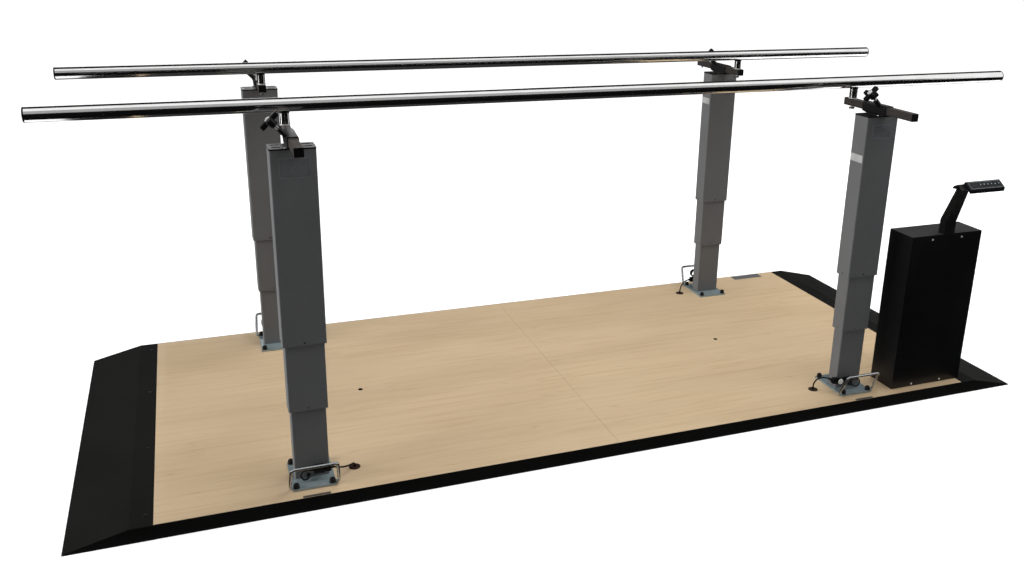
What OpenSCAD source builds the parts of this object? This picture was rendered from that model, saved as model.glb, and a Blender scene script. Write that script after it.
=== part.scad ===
// Powered parallel bars for walking practice, on a low platform with two ramps.
// Millimetres. X runs along the handrails, -Y is the front, Z is up, and the
// origin is the centre of the platform at the floor.

/* [Handrails] */
// Length of a handrail tube
rail_l = 3032; // [2600:1:3080]
// Outside diameter of a handrail
rail_d = 38.1; // [32:0.1:42]
// Wall thickness of a handrail tube
rail_wall = 1.7; // [1.2:0.1:3]
// Distance between the two handrails, centre to centre
rail_gap = 722; // [700:1:740]
// Thickness of a handrail end plug that shows
plug_t = 4; // [3:0.5:8]
// Diameter of the post that carries a handrail
post_d = 25; // [20:0.5:28]
// Height of the post between the arm and the handrail
post_h = 34; // [28:1:50]
// Diameter of the bolt that holds a post
post_bolt_d = 8; // [6:0.5:10]

/* [Sliding arms] */
// Side of the square arm tube
arm_s = 24; // [20:0.5:26]
// Wall thickness of the arm tube
arm_wall = 2; // [1.5:0.1:3]
// Length of arm past its post, towards the walking lane
arm_in = 26; // [20:1:34]
// Reach of an arm past the centre of its column, to the outside
arm_out = 171; // [165:1:190]
// Play between the arm and its receiver, on each face
arm_play = 0.4; // [0.3:0.05:0.6]

/* [Column heads] */
// Thickness of the cap on a column
cap_t = 4; // [3:0.5:6]
// Height of the pad under the receiver
pad_h = 3.5; // [2:0.5:8]
// Length of the receiver that holds the arm
receiver_l = 112; // [90:1:120]
// Wall thickness of the receiver
receiver_wall = 2.6; // [2:0.1:4]
// Diameter of the sloping clamp boss
boss_d = 13; // [11:0.5:16]
// Reach of the clamp boss from the centre of the arm
boss_reach = 44; // [36:1:48]
// Distance of the clamp from the centre of the column, to the outside
clamp_off = 23; // [10:1:40]
// Diameter of the clamp screw
clamp_d = 8; // [6:0.5:9]
// Distance from the centre of the arm to the middle of the knob
knob_reach = 72; // [64:1:76]
// Diameter of the four-arm clamp knob
knob_d = 56; // [44:1:60]
// Thickness of the clamp knob
knob_t = 10; // [8:0.5:12]

/* [Lift columns] */
// Distance of a column from the end of the deck, along the handrails
col_end = 417; // [400:1:424]
// Distance of a column from the side edge of the deck
col_edge = 116; // [110:1:121]
// Width of the upper tube, along X
upper_w = 117.6; // [116:0.1:122]
// Depth of the upper tube, along Y
upper_d = 65.4; // [64:0.1:68]
// Length of the upper tube
upper_l = 536; // [520:1:600]
// Width of the middle tube
middle_w = 106.6; // [105:0.1:108]
// Depth of the middle tube
middle_d = 56; // [54:0.1:57]
// Width of the lower tube
lower_w = 96; // [92:0.1:97]
// Depth of the lower tube
lower_d = 45; // [42:0.1:46]
// Wall thickness of the column tubes
tube_wall = 3; // [2:0.1:3.5]
// Radius of the tube corners
tube_r = 4; // [3.5:0.5:6]
// Length of lower tube that shows in the modelled pose
lower_show = 210; // [200:1:230]
// Length of middle tube that shows in the modelled pose
middle_show = 195; // [192:1:220]
// Length of each tube that stays inside the next
tube_lap = 215; // [180:1:230]
// Height of the drive gearbox under the cap
gear_h = 105; // [90:1:110]
// Diameter of the lifting screw
screw_d = 16; // [12:0.5:20]

/* [Base plates] */
// Width of a base plate, along X
plate_w = 119; // [116:1:126]
// Depth of a base plate, along Y
plate_d = 156; // [140:1:170]
// Thickness of a base plate
plate_t = 6; // [5:0.5:8]
// Distance of a bolt from the edges of its base plate
bolt_inset = 10; // [9:0.5:12]
// Diameter of the base plate bolts
bolt_d = 8; // [6:0.5:9]
// Diameter of the domed bolt covers
cover_d = 17; // [15:0.5:18]
// Height of the straight part of a bolt cover
cover_h = 7; // [4:0.5:9]
// Wire diameter of the bails
wire_d = 7; // [5:0.5:7.5]
// Length of a bail leg from its hinge
bail_l = 80; // [76:1:90]
// Lean of the bails from upright, to the outside
bail_lean = 23; // [10:1:40]

/* [Platform] */
// Length of the wooden deck, along X
deck_l = 2650; // [2630:1:2690]
// Width of the wooden deck, along Y
deck_w = 1206; // [1190:1:1220]
// Thickness of the wooden deck
deck_t = 18; // [15:1:22]
// Height of the top of the deck above the floor
deck_h = 43; // [40:1:50]
// Joint between the two halves of the deck
seam = 0.6; // [0.4:0.1:2]
// Thickness of the side skirts
skirt_t = 3; // [2:0.5:5]
// Width of the bearers under the deck
bearer_w = 40; // [30:1:44]
// Distance of the divider sockets from the middle
socket_x = 683; // [675:1:688]
// Diameter of the divider sockets
socket_d = 16; // [10:1:18]
// Length of the flat strip at the head of a ramp
strip_l = 58; // [50:1:80]
// Length of the sloping part of a ramp
slope_l = 161; // [140:1:240]
// Thickness of the ramp plate
ramp_t = 4; // [3:0.5:5]

/* [Leads] */
// Diameter of the column leads
lead_d = 5; // [4:0.5:5.5]
// Diameter of the floor grommets
grommet_d = 33; // [28:1:36]
// Height of a grommet above the deck
grommet_h = 3; // [2:0.5:5]
// Height of a lead connector
connector_h = 24; // [16:1:24]
// Thickness of a lead connector
connector_t = 14; // [8:0.5:15]

/* [Control cabinet] */
// Width of the cabinet, along X
box_w = 290; // [280:1:310]
// Depth of the cabinet, along Y
box_d = 110; // [105:1:130]
// Height of the cabinet above the deck
box_h = 550; // [500:1:600]
// Thickness of the cabinet sheet
sheet_t = 2; // [1.5:0.1:3]
// Distance of the centre of the cabinet from the end of the deck
box_end = 133; // [129:1:140]
// Distance from the cabinet front to the edge of the deck
box_inset = 32; // [25:1:36]
// Width of the handset bracket
bracket_w = 44; // [38:1:50]
// Width of the handset bracket at its top
bracket_top_w = 27; // [20:1:36]
// Depth of the handset bracket
bracket_d = 26; // [20:1:32]
// Height of the upright foot of the bracket
bracket_foot = 45; // [40:1:60]
// Height of the leaning part of the bracket
bracket_rise = 112; // [100:1:130]
// Lean of the bracket to the front
bracket_lean = 20; // [15:1:25]

/* [Handset] */
// Length of the handset, along X
hand_w = 143; // [140:1:160]
// Depth of the handset's upper face
hand_d = 35; // [32:1:40]
// Thickness of the handset
hand_t = 11; // [9:0.5:14]
// Tilt of the handset's upper face
face_tilt = 35; // [28:1:38]
// Width of a button
button_w = 11; // [9:0.5:12]
// Depth of a button
button_d = 11; // [8:0.5:13]
// Spacing of the buttons
button_pitch = 15.2; // [14:0.1:16]
// Height of a button above the face
button_h = 1.6; // [1.4:0.1:2.5]
// Travel of a button
button_travel = 1; // [0.6:0.1:1.2]

/* [Hidden] */
$fn = 48;

// Clearances. A cut runs past a face by the length of over.
slip = 0.3;
run_fit = 0.05;
lip_play = 0.4;
nut_play = 0.4;
clamp_gap = 0.5;
key_gap = 0.4;
over = 1;

// Places along the handrails, from the middle
col_x = deck_l / 2 - col_end;
col_y = deck_w / 2 - col_edge;
box_x = deck_l / 2 - box_end;

// Heights, from the floor up
plate_z = deck_h + plate_t;
middle_z = plate_z + lower_show;
upper_z = middle_z + middle_show;
column_top = upper_z + upper_l;
cap_z = column_top + cap_t;
receiver_s = arm_s + 2 * (arm_play + receiver_wall);
arm_z = cap_z + pad_h + receiver_s / 2;
rail_z = arm_z + arm_s / 2 + post_h + rail_d / 2;

// Tubes of a column, their guide lips and the lifting screw
lower_top = middle_z + tube_lap;
middle_top = upper_z + tube_lap;
lip_h = 20;
nut_h = 24;
screw_end = lower_top - nut_h - 8;
drive_gap = 4;
collar_d = 34;
collar_h = 8;

// Vent slots in a cap
vent_x = 39;
vent_y = [-17.5, 12.5];
vent_l = 21;
vent_w = 4.5;

// Clamp, on a line that slopes up at 45 degrees through the corner of the arm
arm_r = 2.5;
arm_corner = arm_s / 2 * sqrt(2) - arm_r * (sqrt(2) - 1);
knob_arm_w = 12;
knob_hub_d = 24;
knob_neck_d = 17;
knob_neck = 5;

// Arms, posts and plugs
rail_y = rail_gap / 2;
arm_reach = col_y + arm_out - rail_y;
post_flange = 4;
foot_gap = 5;
foot_d = 18;
foot_h = 5;
stop_in = 20;
stop_d = 7;
stop_h = 7;
plug_r = 2;
plug_depth = 20;
arm_plug_t = 2;
arm_plug_depth = 14;

// Base plate bolts
plate_off_x = plate_w / 2 - bolt_inset;
plate_off_y = plate_d / 2 - bolt_inset;
bolt_grip = 20;

// Bail hinge, in an eye on each side of the plate
eye_d = wire_d + 4;
eye_l = 4;
eye_gap = 0.4;
bail_out = plate_d / 2 - 10;
bail_z = plate_z + 1;
bail_foot = plate_w / 2 + eye_l + eye_gap + wire_d / 2;
bail_taper = 5;
bail_r = 9;
bend_d = wire_d + 0.2;
bend_lap = 0.5;

// Bearers under the deck, as distances of their centres from the middle
bearer_h = deck_h - deck_t;
end_bearer = deck_l / 2 - bearer_w / 2;
bearers = [255, 500, socket_x + 35, col_x - plate_off_x, col_x + plate_off_x,
    (col_x + plate_off_x + end_bearer) / 2, end_bearer];
lane_w = 46;
lane_h = 14;

// Ramp screws
strip_screw_x = deck_l / 2 + 20;
strip_screw_y = [-550, -185, 195, 550];
strip_screw_d = 5;
strip_head_d = 10;
strip_head_h = 1.2;
strip_grip = 12;

// Cabinet
box_front = -deck_w / 2 + box_inset;
box_y = box_front + box_d / 2;
box_top = deck_h + box_h;
flange_h = 22;
port_w = 44;
port_d = 50;
port_x = box_x - box_w / 2 + 32;
cover_screw_d = 4;
cover_head_d = 7;
cover_head_h = 2;
cover_screw_x = 61;
cover_screw_low = 9;
cover_screw_high = 15;
power_w = 220;
power_d = 70;
power_h = 260;
power_x = box_x - 25;
power_lift = 90;
power_z = deck_h + power_lift;
inlet_x = box_x + 90;
inlet_lift = 60;
inlet_z = deck_h + inlet_lift;
inlet_w = 28;
inlet_h = 20;
inlet_wall = 2;
inlet_depth = 24;

// Handset bracket, and the handset that lies against the front of its saddle
bracket_x = box_x + 5;
bracket_y = box_front + bracket_d / 2;
bend_z = box_top + bracket_foot;
ridge_y = bracket_y - bracket_rise * tan(bracket_lean);
ridge_z = bend_z + bracket_rise + 21;
saddle_t = 3;
saddle_w = 48;
saddle_wing = 14;
saddle_back = 27;
saddle_drop = saddle_wing * tan(saddle_back);
cut_reach = 4 * bracket_w;
saddle_lip = 11;
lip_tilt = 54;
saddle_front = 25;
shelf_w = 98;
hand_x = box_x + 76;
pocket_d = button_travel + 2;
button_in = 1.5;
first_button = -20.5;

// Leads. Points are taken from the centre of a column: towards the middle, outwards
// and up from the top of the base plate.
gland_x = -11;
gland_z = 8;
gland_l = 7;
gland_d = 12;
face = lower_d / 2;
connector_x = 2;
connector_l = 48;
connector_out = face + 20.5;
connector_z = 34;
grommet_off = 122;
grommet_bore = 22;
lead_loop = [[-11, face + gland_l, 8], [-11, face + 12, 8], [-15, face + 18, 7], [-23, face + 22, 7],
    [-30, face + 22, 12], [-33, face + 21, 21], [-30, face + 20.5, 29], [-23, face + 20.5, 33],
    [-14, connector_out, connector_z], [-6, connector_out, connector_z],
    [connector_x, connector_out, connector_z]];

// The leads of the rear columns are longer, and the spare length hangs in a hank,
// clear of the upper tube where it comes down
hank_gap = 1.2;
hank_turns = 3;
hank_w = 92;
hank_h = 26;
hank_z = 62;
hank_out = (upper_d + lead_d) / 2 + hank_gap;
hank_pitch = lead_d + 0.6;
hank_r = hank_h / 2;
hank_s = hank_w / 2 - hank_r;
// One turn, along the bottom, up, back along the top and down
hank_turn = concat([[-hank_s, -hank_r], [0, -hank_r]],
    [for (a = [-90:30:90]) [hank_s + hank_r * cos(a), hank_r * sin(a)]], [[0, hank_r]],
    [for (a = [90:30:240]) [-hank_s + hank_r * cos(a), hank_r * sin(a)]]);
hank_steps = len(hank_turn);
hank_last = hank_turns * hank_steps - 3;
hank = [for (i = [0:hank_last]) let (p = hank_turn[i % hank_steps])
    [p[0], hank_out + hank_pitch * i / hank_steps, hank_z + p[1]]];
hank_end = hank_out + hank_pitch * hank_last / hank_steps;
lead_hank = concat([[-11, face + gland_l, 8], [-11, face + 12, 8], [-15, face + 16, 7],
    [-24, hank_out + 2, 7], [-35, hank_out + 2, 13], [-43, hank_out + 1, 26],
    [-44.5, hank_out + 0.5, 36], [-42, hank_out, 43], [-38, hank_out, 47]], hank,
    [[-46, hank_end, 53], [-44, hank_end - 0.5, 43], [-36, hank_end - 3, 37], [-23, hank_end - 7, 34.5],
    [-12, connector_out, connector_z], [-5, connector_out, connector_z],
    [connector_x, connector_out, connector_z]]);
lead_tail = [[connector_x + connector_l, connector_out, connector_z], [56, connector_out, 33],
    [66, 41, 32], [79, 36, 32], [92, 28, 33], [104, 18, 32], [113, 9, 28], [119, 2, 20],
    [grommet_off, -2, 9], [grommet_off, -2, 0], [grommet_off, -2, -14], [grommet_off, -2, -28]];

// Their run under the deck to the cabinet, in the frame of the platform
bend = 5 * lead_d;
floor_lead_z = 7;
lane_y = col_y - 2;
outer_y = lane_y + 9;
inner_y = lane_y - 9;
front_riser_x = port_x - 15;
left_riser_x = port_x + 14;
right_riser_x = port_x + 1;
front_left_run = concat(under_grommet(-1, -1, outer_y), sidestep(front_riser_x, -outer_y, box_y - 4),
    rise(front_riser_x, box_y - 4, 1, 0));
front_right_run = concat(under_grommet(1, -1, inner_y), sidestep(front_riser_x, -inner_y, box_y + 16),
    rise(front_riser_x, box_y + 16, 1, 0));
rear_left_run = concat(under_grommet(-1, 1, outer_y), turn_forward(left_riser_x, outer_y),
    rise(left_riser_x, box_y + 15, 0, -1));
rear_right_run = concat(under_grommet(1, 1, inner_y), turn_forward(right_riser_x, inner_y),
    rise(right_riser_x, box_y + 5, 0, -1));

// A lead leaves the grommet of column sx, sy for its lane, on its way to the right
function under_grommet(sx, sy, lane) = let (x = sx * (col_x - grommet_off))
    [[x + 0.1 * bend, sy * (col_y + lane) / 2, 10], [x + 0.4 * bend, sy * lane, floor_lead_z + 0.5],
    [x + bend, sy * lane, floor_lead_z]];
function sidestep(x, y0, y1) =
    [[x - 4 * bend, y0, floor_lead_z], [x - 3 * bend, 0.78 * y0 + 0.22 * y1, floor_lead_z],
    [x - 2 * bend, 0.22 * y0 + 0.78 * y1, floor_lead_z]];
function turn_forward(x, y) =
    [[x - 1.7 * bend, y, floor_lead_z], [x - 0.7 * bend, y - 0.2 * bend, floor_lead_z],
    [x - 0.15 * bend, y - 0.75 * bend, floor_lead_z], [x, y - 1.7 * bend, floor_lead_z]];
function rise(x, y, dx, dy) =
    [[x - bend * dx, y - bend * dy, floor_lead_z],
    [x - 0.35 * bend * dx, y - 0.35 * bend * dy, floor_lead_z + 2],
    [x - 0.06 * bend * dx, y - 0.06 * bend * dy, floor_lead_z + 0.4 * bend],
    [x, y, floor_lead_z + bend], [x, y, power_z]];
function unit(v) = v / norm(v);
function side_of(t) = unit(cross(t, abs(t[2]) > 0.9 ? [1, 0, 0] : [0, 0, 1]));
function lifted(points) = [for (p = points) [p[0], p[1], plate_z + p[2]]];
function at_foot(sx, sy, points) =
    [for (p = points) [sx * (col_x - p[0]), sy * (col_y + p[1]), plate_z + p[2]]];

// A tube swept along points, closed at both ends
module sweep(points, d, sides = 8) {
    n = len(points);
    tangents = [for (i = [0:n - 1]) unit(points[min(i + 1, n - 1)] - points[max(i - 1, 0)])];
    rings = [for (i = [0:n - 1])
        let (t = tangents[i], a = side_of(t), b = cross(t, a))
        for (k = [0:sides - 1])
            points[i] + d / 2 * (cos(360 * k / sides) * a + sin(360 * k / sides) * b)];
    walls = [for (i = [0:n - 2]) for (k = [0:sides - 1])
        let (p = i * sides + k, q = i * sides + (k + 1) % sides)
        each [[p, p + sides, q], [q, p + sides, q + sides]]];
    first = [for (k = [0:sides - 1]) k];
    last = [for (k = [0:sides - 1]) n * sides - 1 - k];
    polyhedron(rings, concat([first], walls, [last]));
}

// Rectangle with round corners
module round_rect(w, d, r) {
    square([w - 2 * r, d], center = true);
    square([w, d - 2 * r], center = true);
    for (x = [-1, 1], y = [-1, 1])
        translate([x * (w / 2 - r), y * (d / 2 - r)])
            circle(r);
}

// Slot with round ends, along X
module slot(l, w) {
    square([l - w, w], center = true);
    for (x = [-1, 1])
        translate([x * (l - w) / 2, 0])
            circle(w / 2);
}

// Box between two heights, centred on x and y
module block(w, d, z0, z1) {
    translate([-w / 2, -d / 2, z0])
        cube([w, d, z1 - z0]);
}

// Puts the pieces of a column in place. Its own Y points outwards, and at the foot
// its own X points to the middle of the platform.
module at_column(sx, sy, foot = false) {
    translate([sx * col_x, sy * col_y, 0])
        if (sy < 0)
            mirror([0, 1, 0]) turned(foot && sx > 0) children();
        else
            turned(foot && sx > 0) children();
}

module turned(flip) {
    if (flip)
        mirror([1, 0, 0]) children();
    else
        children();
}

module each_column(foot = false) {
    for (sx = [-1, 1], sy = [-1, 1])
        at_column(sx, sy, foot) children();
}

module plate_corners() {
    for (x = [-1, 1], y = [-1, 1])
        translate([x * plate_off_x, y * plate_off_y, 0])
            children();
}

// Turns what is drawn along Z onto the clamp line of a column head
module on_clamp_line() {
    translate([0, clamp_off, arm_z])
        rotate([0, -45, 0])
            children();
}

// Puts the pieces of a rail in place, with their own Y pointing outwards
module at_rail(sy) {
    translate([0, sy * rail_y, 0])
        if (sy < 0)
            mirror([0, 1, 0]) children();
        else
            children();
}

// One half of the wooden deck
module deck_half(side) {
    color("burlywood")
    difference() {
        translate([side > 0 ? seam / 2 : -deck_l / 2, -deck_w / 2, bearer_h])
            cube([(deck_l - seam) / 2, deck_w, deck_t]);
        translate([side * socket_x, 0, bearer_h - over])
            cylinder(d = socket_d, h = deck_t + 2 * over);
        for (y = [-1, 1]) {
            at_column(side, y)
                plate_corners()
                    translate([0, 0, bearer_h - over])
                        cylinder(d = bolt_d + 2 * slip, h = deck_t + 2 * over);
            at_column(side, y, true)
                translate([grommet_off, -2, bearer_h - over])
                    cylinder(d = grommet_bore, h = deck_t + 2 * over);
        }
        if (side > 0)
            translate([port_x, box_y, 0])
                block(port_w, port_d, bearer_h - over, deck_h + over);
    }
}

module deck_left() {
    deck_half(-1);
}

module deck_right() {
    deck_half(1);
}

// Bent ramp plate with a flat strip, held up by a cheek at each side and two inside
module ramp(side) {
    run = strip_l + slope_l;
    half = deck_w / 2 + skirt_t;
    color([0.12, 0.12, 0.12])
    difference() {
        translate([side * deck_l / 2, 0, 0])
            mirror([side < 0 ? 1 : 0, 0, 0])
                rotate([90, 0, 0]) {
                    translate([0, 0, -half])
                        linear_extrude(2 * half)
                            polygon([[0, deck_h], [strip_l, deck_h], [run, ramp_t], [run, 0],
                                [run - ramp_t, 0], [strip_l - 1, deck_h - ramp_t], [0, deck_h - ramp_t]]);
                    for (z = [-half, half - skirt_t])
                        translate([0, 0, z])
                            linear_extrude(skirt_t)
                                polygon([[0, 0], [0, deck_h - 1], [strip_l, deck_h - 1], [run - 1, 0]]);
                    for (z = [-half / 3, half / 3])
                        translate([0, 0, z])
                            linear_extrude(skirt_t)
                                polygon([[bearer_w, 0], [bearer_w, deck_h - 1], [strip_l, deck_h - 1],
                                    [run - 1, 0]]);
                }
        for (y = strip_screw_y)
            translate([side * strip_screw_x, y, deck_h - ramp_t - over])
                cylinder(d = strip_screw_d, h = ramp_t + 2 * over);
    }
}

module ramp_left() {
    ramp(-1);
}

module ramp_right() {
    ramp(1);
}

module side_skirts() {
    color([0.1, 0.1, 0.1])
    for (s = [-1, 1])
        translate([0, s * (deck_w + skirt_t) / 2, 0])
            block(deck_l, skirt_t, 0, deck_h);
}

// Bearer across the platform, notched over the leads
module bearer(w, h) {
    difference() {
        block(w, deck_w, 0, h);
        for (s = [-1, 1])
            translate([0, s * lane_y, 0])
                block(w + 2 * over, lane_w, -over, lane_h);
    }
}

// Bearers under the deck, a wide one under its seam and one under each ramp strip
module deck_bearers() {
    color([0.55, 0.5, 0.42])
    difference() {
        union() {
            bearer(2 * bearer_w, bearer_h);
            for (s = [-1, 1]) {
                for (x = bearers)
                    translate([s * x, 0, 0])
                        bearer(bearer_w, bearer_h);
                translate([s * (deck_l / 2 + bearer_w / 2), 0, 0])
                    block(bearer_w, deck_w, 0, deck_h - ramp_t);
            }
        }
        each_column()
            plate_corners()
                translate([0, 0, bearer_h - bolt_grip])
                    cylinder(d = bolt_d, h = bolt_grip + over);
        for (s = [-1, 1], y = strip_screw_y)
            translate([s * strip_screw_x, y, deck_h - ramp_t - strip_grip])
                cylinder(d = strip_screw_d, h = strip_grip + over);
    }
}

// Screws through the ramp strips into the bearers under them
module deck_screws() {
    color("silver")
    for (s = [-1, 1], y = strip_screw_y)
        translate([s * strip_screw_x, y, 0]) {
            translate([0, 0, deck_h])
                cylinder(d = strip_head_d, h = strip_head_h);
            translate([0, 0, deck_h - ramp_t - strip_grip])
                cylinder(d = strip_screw_d, h = ramp_t + strip_grip + 0.5);
        }
}

// Steel base plates, each with two eyes for its bail
module base_plates() {
    color([0.62, 0.68, 0.74])
    each_column()
        difference() {
            union() {
                block(plate_w, plate_d, deck_h, plate_z);
                for (s = [0, 1])
                    mirror([s, 0, 0])
                        translate([plate_w / 2 - 1, bail_out, bail_z])
                            rotate([0, 90, 0])
                                cylinder(d = eye_d, h = eye_l + 1);
            }
            plate_corners()
                translate([0, 0, deck_h - over])
                    cylinder(d = bolt_d + 2 * slip, h = plate_t + 2 * over);
            for (s = [0, 1])
                mirror([s, 0, 0])
                    translate([plate_w / 2, bail_out, bail_z])
                        rotate([0, 90, 0])
                            cylinder(d = wire_d + 2 * run_fit, h = eye_l + over);
        }
}

// Bolts through plate and deck into the bearers, under domed covers
module plate_bolts() {
    color([0.08, 0.08, 0.08])
    each_column()
        plate_corners() {
            translate([0, 0, bearer_h - bolt_grip])
                cylinder(d = bolt_d, h = plate_z + 1 - bearer_h + bolt_grip);
            translate([0, 0, plate_z])
                cylinder(d = cover_d, h = cover_h);
            translate([0, 0, plate_z + cover_h])
                rotate_extrude()
                    intersection() {
                        circle(d = cover_d);
                        square(cover_d / 2);
                    }
        }
}

// Column tube from z0 to z1. A guide lip inside its lower end slides on the next tube.
module column_tube(w, d, z0, z1, inner_w = 0, inner_d = 0) {
    translate([0, 0, z0])
        linear_extrude(z1 - z0)
            difference() {
                round_rect(w, d, tube_r);
                round_rect(w - 2 * tube_wall, d - 2 * tube_wall, max(tube_r - tube_wall, 0.5));
            }
    if (inner_w > 0)
        translate([0, 0, z0])
            linear_extrude(lip_h)
                difference() {
                    round_rect(w - tube_wall, d - tube_wall, tube_r - tube_wall / 2);
                    round_rect(inner_w + 2 * lip_play, inner_d + 2 * lip_play, tube_r);
                }
}

module lower_tubes() {
    color([0.28, 0.29, 0.3])
    each_column(true)
        difference() {
            column_tube(lower_w, lower_d, plate_z, lower_top);
            translate([gland_x, face, plate_z + gland_z])
                rotate([90, 0, 0])
                    cylinder(d = lead_d, h = 3 * tube_wall, center = true);
        }
}

module middle_tube(sx, sy) {
    color([0.3, 0.31, 0.32])
    at_column(sx, sy)
        column_tube(middle_w, middle_d, middle_z, middle_top, lower_w, lower_d);
}

module upper_tube(sx, sy) {
    color([0.32, 0.33, 0.34])
    at_column(sx, sy)
        column_tube(upper_w, upper_d, upper_z, column_top, middle_w, middle_d);
}

// Nut block in the top of each lower tube
module lift_nuts() {
    color("goldenrod")
    each_column()
        difference() {
            translate([0, 0, lower_top - nut_h])
                linear_extrude(nut_h)
                    round_rect(lower_w - 2 * tube_wall, lower_d - 2 * tube_wall,
                        max(tube_r - tube_wall, 0.5));
            translate([0, 0, lower_top - nut_h - over])
                cylinder(d = screw_d + 2 * nut_play, h = nut_h + 2 * over);
        }
}

// Motor gearbox under the cap, with the lifting screw that hangs through the nut
module lift_drive(sx, sy) {
    gear_z = column_top - gear_h;
    color("dimgray")
    at_column(sx, sy) {
        block(upper_w - 2 * (tube_wall + drive_gap), upper_d - 2 * (tube_wall + drive_gap),
            gear_z, column_top);
        translate([0, 0, gear_z - collar_h])
            cylinder(d = collar_d, h = collar_h + 1);
        translate([0, 0, screw_end])
            cylinder(d = screw_d, h = gear_z - screw_end);
    }
}

// Cap, pad, receiver and threaded clamp boss, welded together
module column_head(sx, sy) {
    opening = arm_s + 2 * arm_play;
    color([0.1, 0.1, 0.1])
    at_column(sx, sy)
        difference() {
            union() {
                translate([0, 0, column_top])
                    linear_extrude(cap_t)
                        difference() {
                            round_rect(upper_w + 1, upper_d + 1, tube_r);
                            for (x = [-1, 1], y = vent_y)
                                translate([x * vent_x, y])
                                    slot(vent_l, vent_w);
                        }
                rotate([90, 0, 90])
                    linear_extrude(receiver_s, center = true)
                        polygon([[-upper_d / 2, column_top + 1], [upper_d / 2, column_top + 1],
                            [upper_d / 2, cap_z], [receiver_l / 2, cap_z + pad_h + 1],
                            [-receiver_l / 2, cap_z + pad_h + 1], [-upper_d / 2, cap_z]]);
                translate([0, receiver_l / 2, arm_z])
                    rotate([90, 0, 0])
                        linear_extrude(receiver_l)
                            round_rect(receiver_s, receiver_s, arm_r + receiver_wall);
                on_clamp_line()
                    cylinder(d = boss_d, h = boss_reach);
            }
            translate([0, receiver_l / 2 + over, arm_z])
                rotate([90, 0, 0])
                    linear_extrude(receiver_l + 2 * over)
                        round_rect(opening, opening, arm_r);
            on_clamp_line()
                cylinder(d = clamp_d + 2 * run_fit, h = boss_reach + over);
        }
}

// Four-arm knob on its clamp screw, whose tip stops just short of the arm
module clamp_knob(sx, sy) {
    color([0.06, 0.06, 0.06])
    at_column(sx, sy)
        on_clamp_line() {
            translate([0, 0, arm_corner + clamp_gap])
                cylinder(d = clamp_d, h = knob_reach - arm_corner - clamp_gap);
            translate([0, 0, knob_reach - knob_t / 2 - knob_neck])
                cylinder(d = knob_neck_d, h = knob_neck + 1);
            translate([0, 0, knob_reach - knob_t / 2])
                linear_extrude(knob_t) {
                    circle(d = knob_hub_d);
                    round_rect(knob_d, knob_arm_w, 2);
                    round_rect(knob_arm_w, knob_d, 2);
                }
        }
}

// Wire bail, drawn upright about its hinge and leaned to the outside
module bail(sx, sy) {
    leg = bail_l - bail_r;
    tilt = atan2(bail_taper, leg);
    run = (leg + bail_r * sin(tilt)) / cos(tilt);
    corner_x = bail_foot - run * sin(tilt) - bail_r * cos(tilt);
    color("silver")
    at_column(sx, sy)
        translate([0, bail_out, bail_z])
            rotate([-bail_lean, 0, 0]) {
                for (s = [0, 1])
                    mirror([s, 0, 0]) {
                        translate([plate_w / 2 + eye_gap, 0, 0])
                            rotate([0, 90, 0])
                                cylinder(d = wire_d, h = eye_l + wire_d / 2);
                        translate([bail_foot, 0, 0])
                            rotate([0, -tilt, 0]) {
                                sphere(d = bend_d);
                                cylinder(d = wire_d, h = run + bend_lap);
                            }
                        translate([corner_x, 0, leg])
                            rotate([90, 0, 0])
                                rotate([0, 0, tilt])
                                    rotate_extrude(angle = 90 - tilt)
                                        translate([bail_r, 0])
                                            circle(d = bend_d);
                    }
                translate([-corner_x - bend_lap, 0, bail_l])
                    rotate([0, 90, 0])
                        cylinder(d = wire_d, h = 2 * (corner_x + bend_lap));
            }
}

module rail(sy) {
    color("silver")
    at_rail(sy)
        translate([-rail_l / 2, 0, rail_z])
            rotate([0, 90, 0])
                difference() {
                    cylinder(d = rail_d, h = rail_l);
                    translate([0, 0, -over])
                        cylinder(d = rail_d - 2 * rail_wall, h = rail_l + 2 * over);
                }
}

// Arms of one rail, square tubes drilled for the bolts of the posts
module arms(sy) {
    color([0.38, 0.34, 0.32])
    at_rail(sy)
        for (x = [-col_x, col_x])
            translate([x, 0, arm_z])
                difference() {
                    translate([0, arm_reach, 0])
                        rotate([90, 0, 0])
                            linear_extrude(arm_reach + arm_in)
                                difference() {
                                    round_rect(arm_s, arm_s, arm_r);
                                    round_rect(arm_s - 2 * arm_wall, arm_s - 2 * arm_wall, 0.5);
                                }
                    translate([0, 0, -arm_s])
                        cylinder(d = post_bolt_d, h = 2 * arm_s);
                    if (sy > 0)
                        translate([0, arm_reach - stop_in, -arm_s])
                            cylinder(d = stop_d, h = arm_s);
                }
}

// Posts under one rail, saddled to the tube and bolted through the arm. The rear arms
// also have a stop screw near their outer end.
module posts(sy) {
    color("gainsboro")
    at_rail(sy)
        for (x = [-col_x, col_x])
            translate([x, 0, arm_z]) {
                difference() {
                    translate([0, 0, arm_s / 2]) {
                        cylinder(d = post_d, h = post_h + rail_d / 2);
                        cylinder(d = post_d + post_flange, h = 2);
                    }
                    translate([-post_d, 0, rail_z - arm_z])
                        rotate([0, 90, 0])
                            cylinder(d = rail_d, h = 2 * post_d);
                }
                translate([0, 0, -arm_s / 2 - foot_gap])
                    cylinder(d = post_bolt_d, h = arm_s + foot_gap + 1);
                translate([0, 0, -arm_s / 2 - foot_gap - foot_h])
                    cylinder(d = foot_d, h = foot_h);
                if (sy > 0)
                    translate([0, arm_reach - stop_in, -arm_s / 2 - stop_h])
                        cylinder(d = stop_d, h = stop_h + arm_wall);
            }
}

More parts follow.
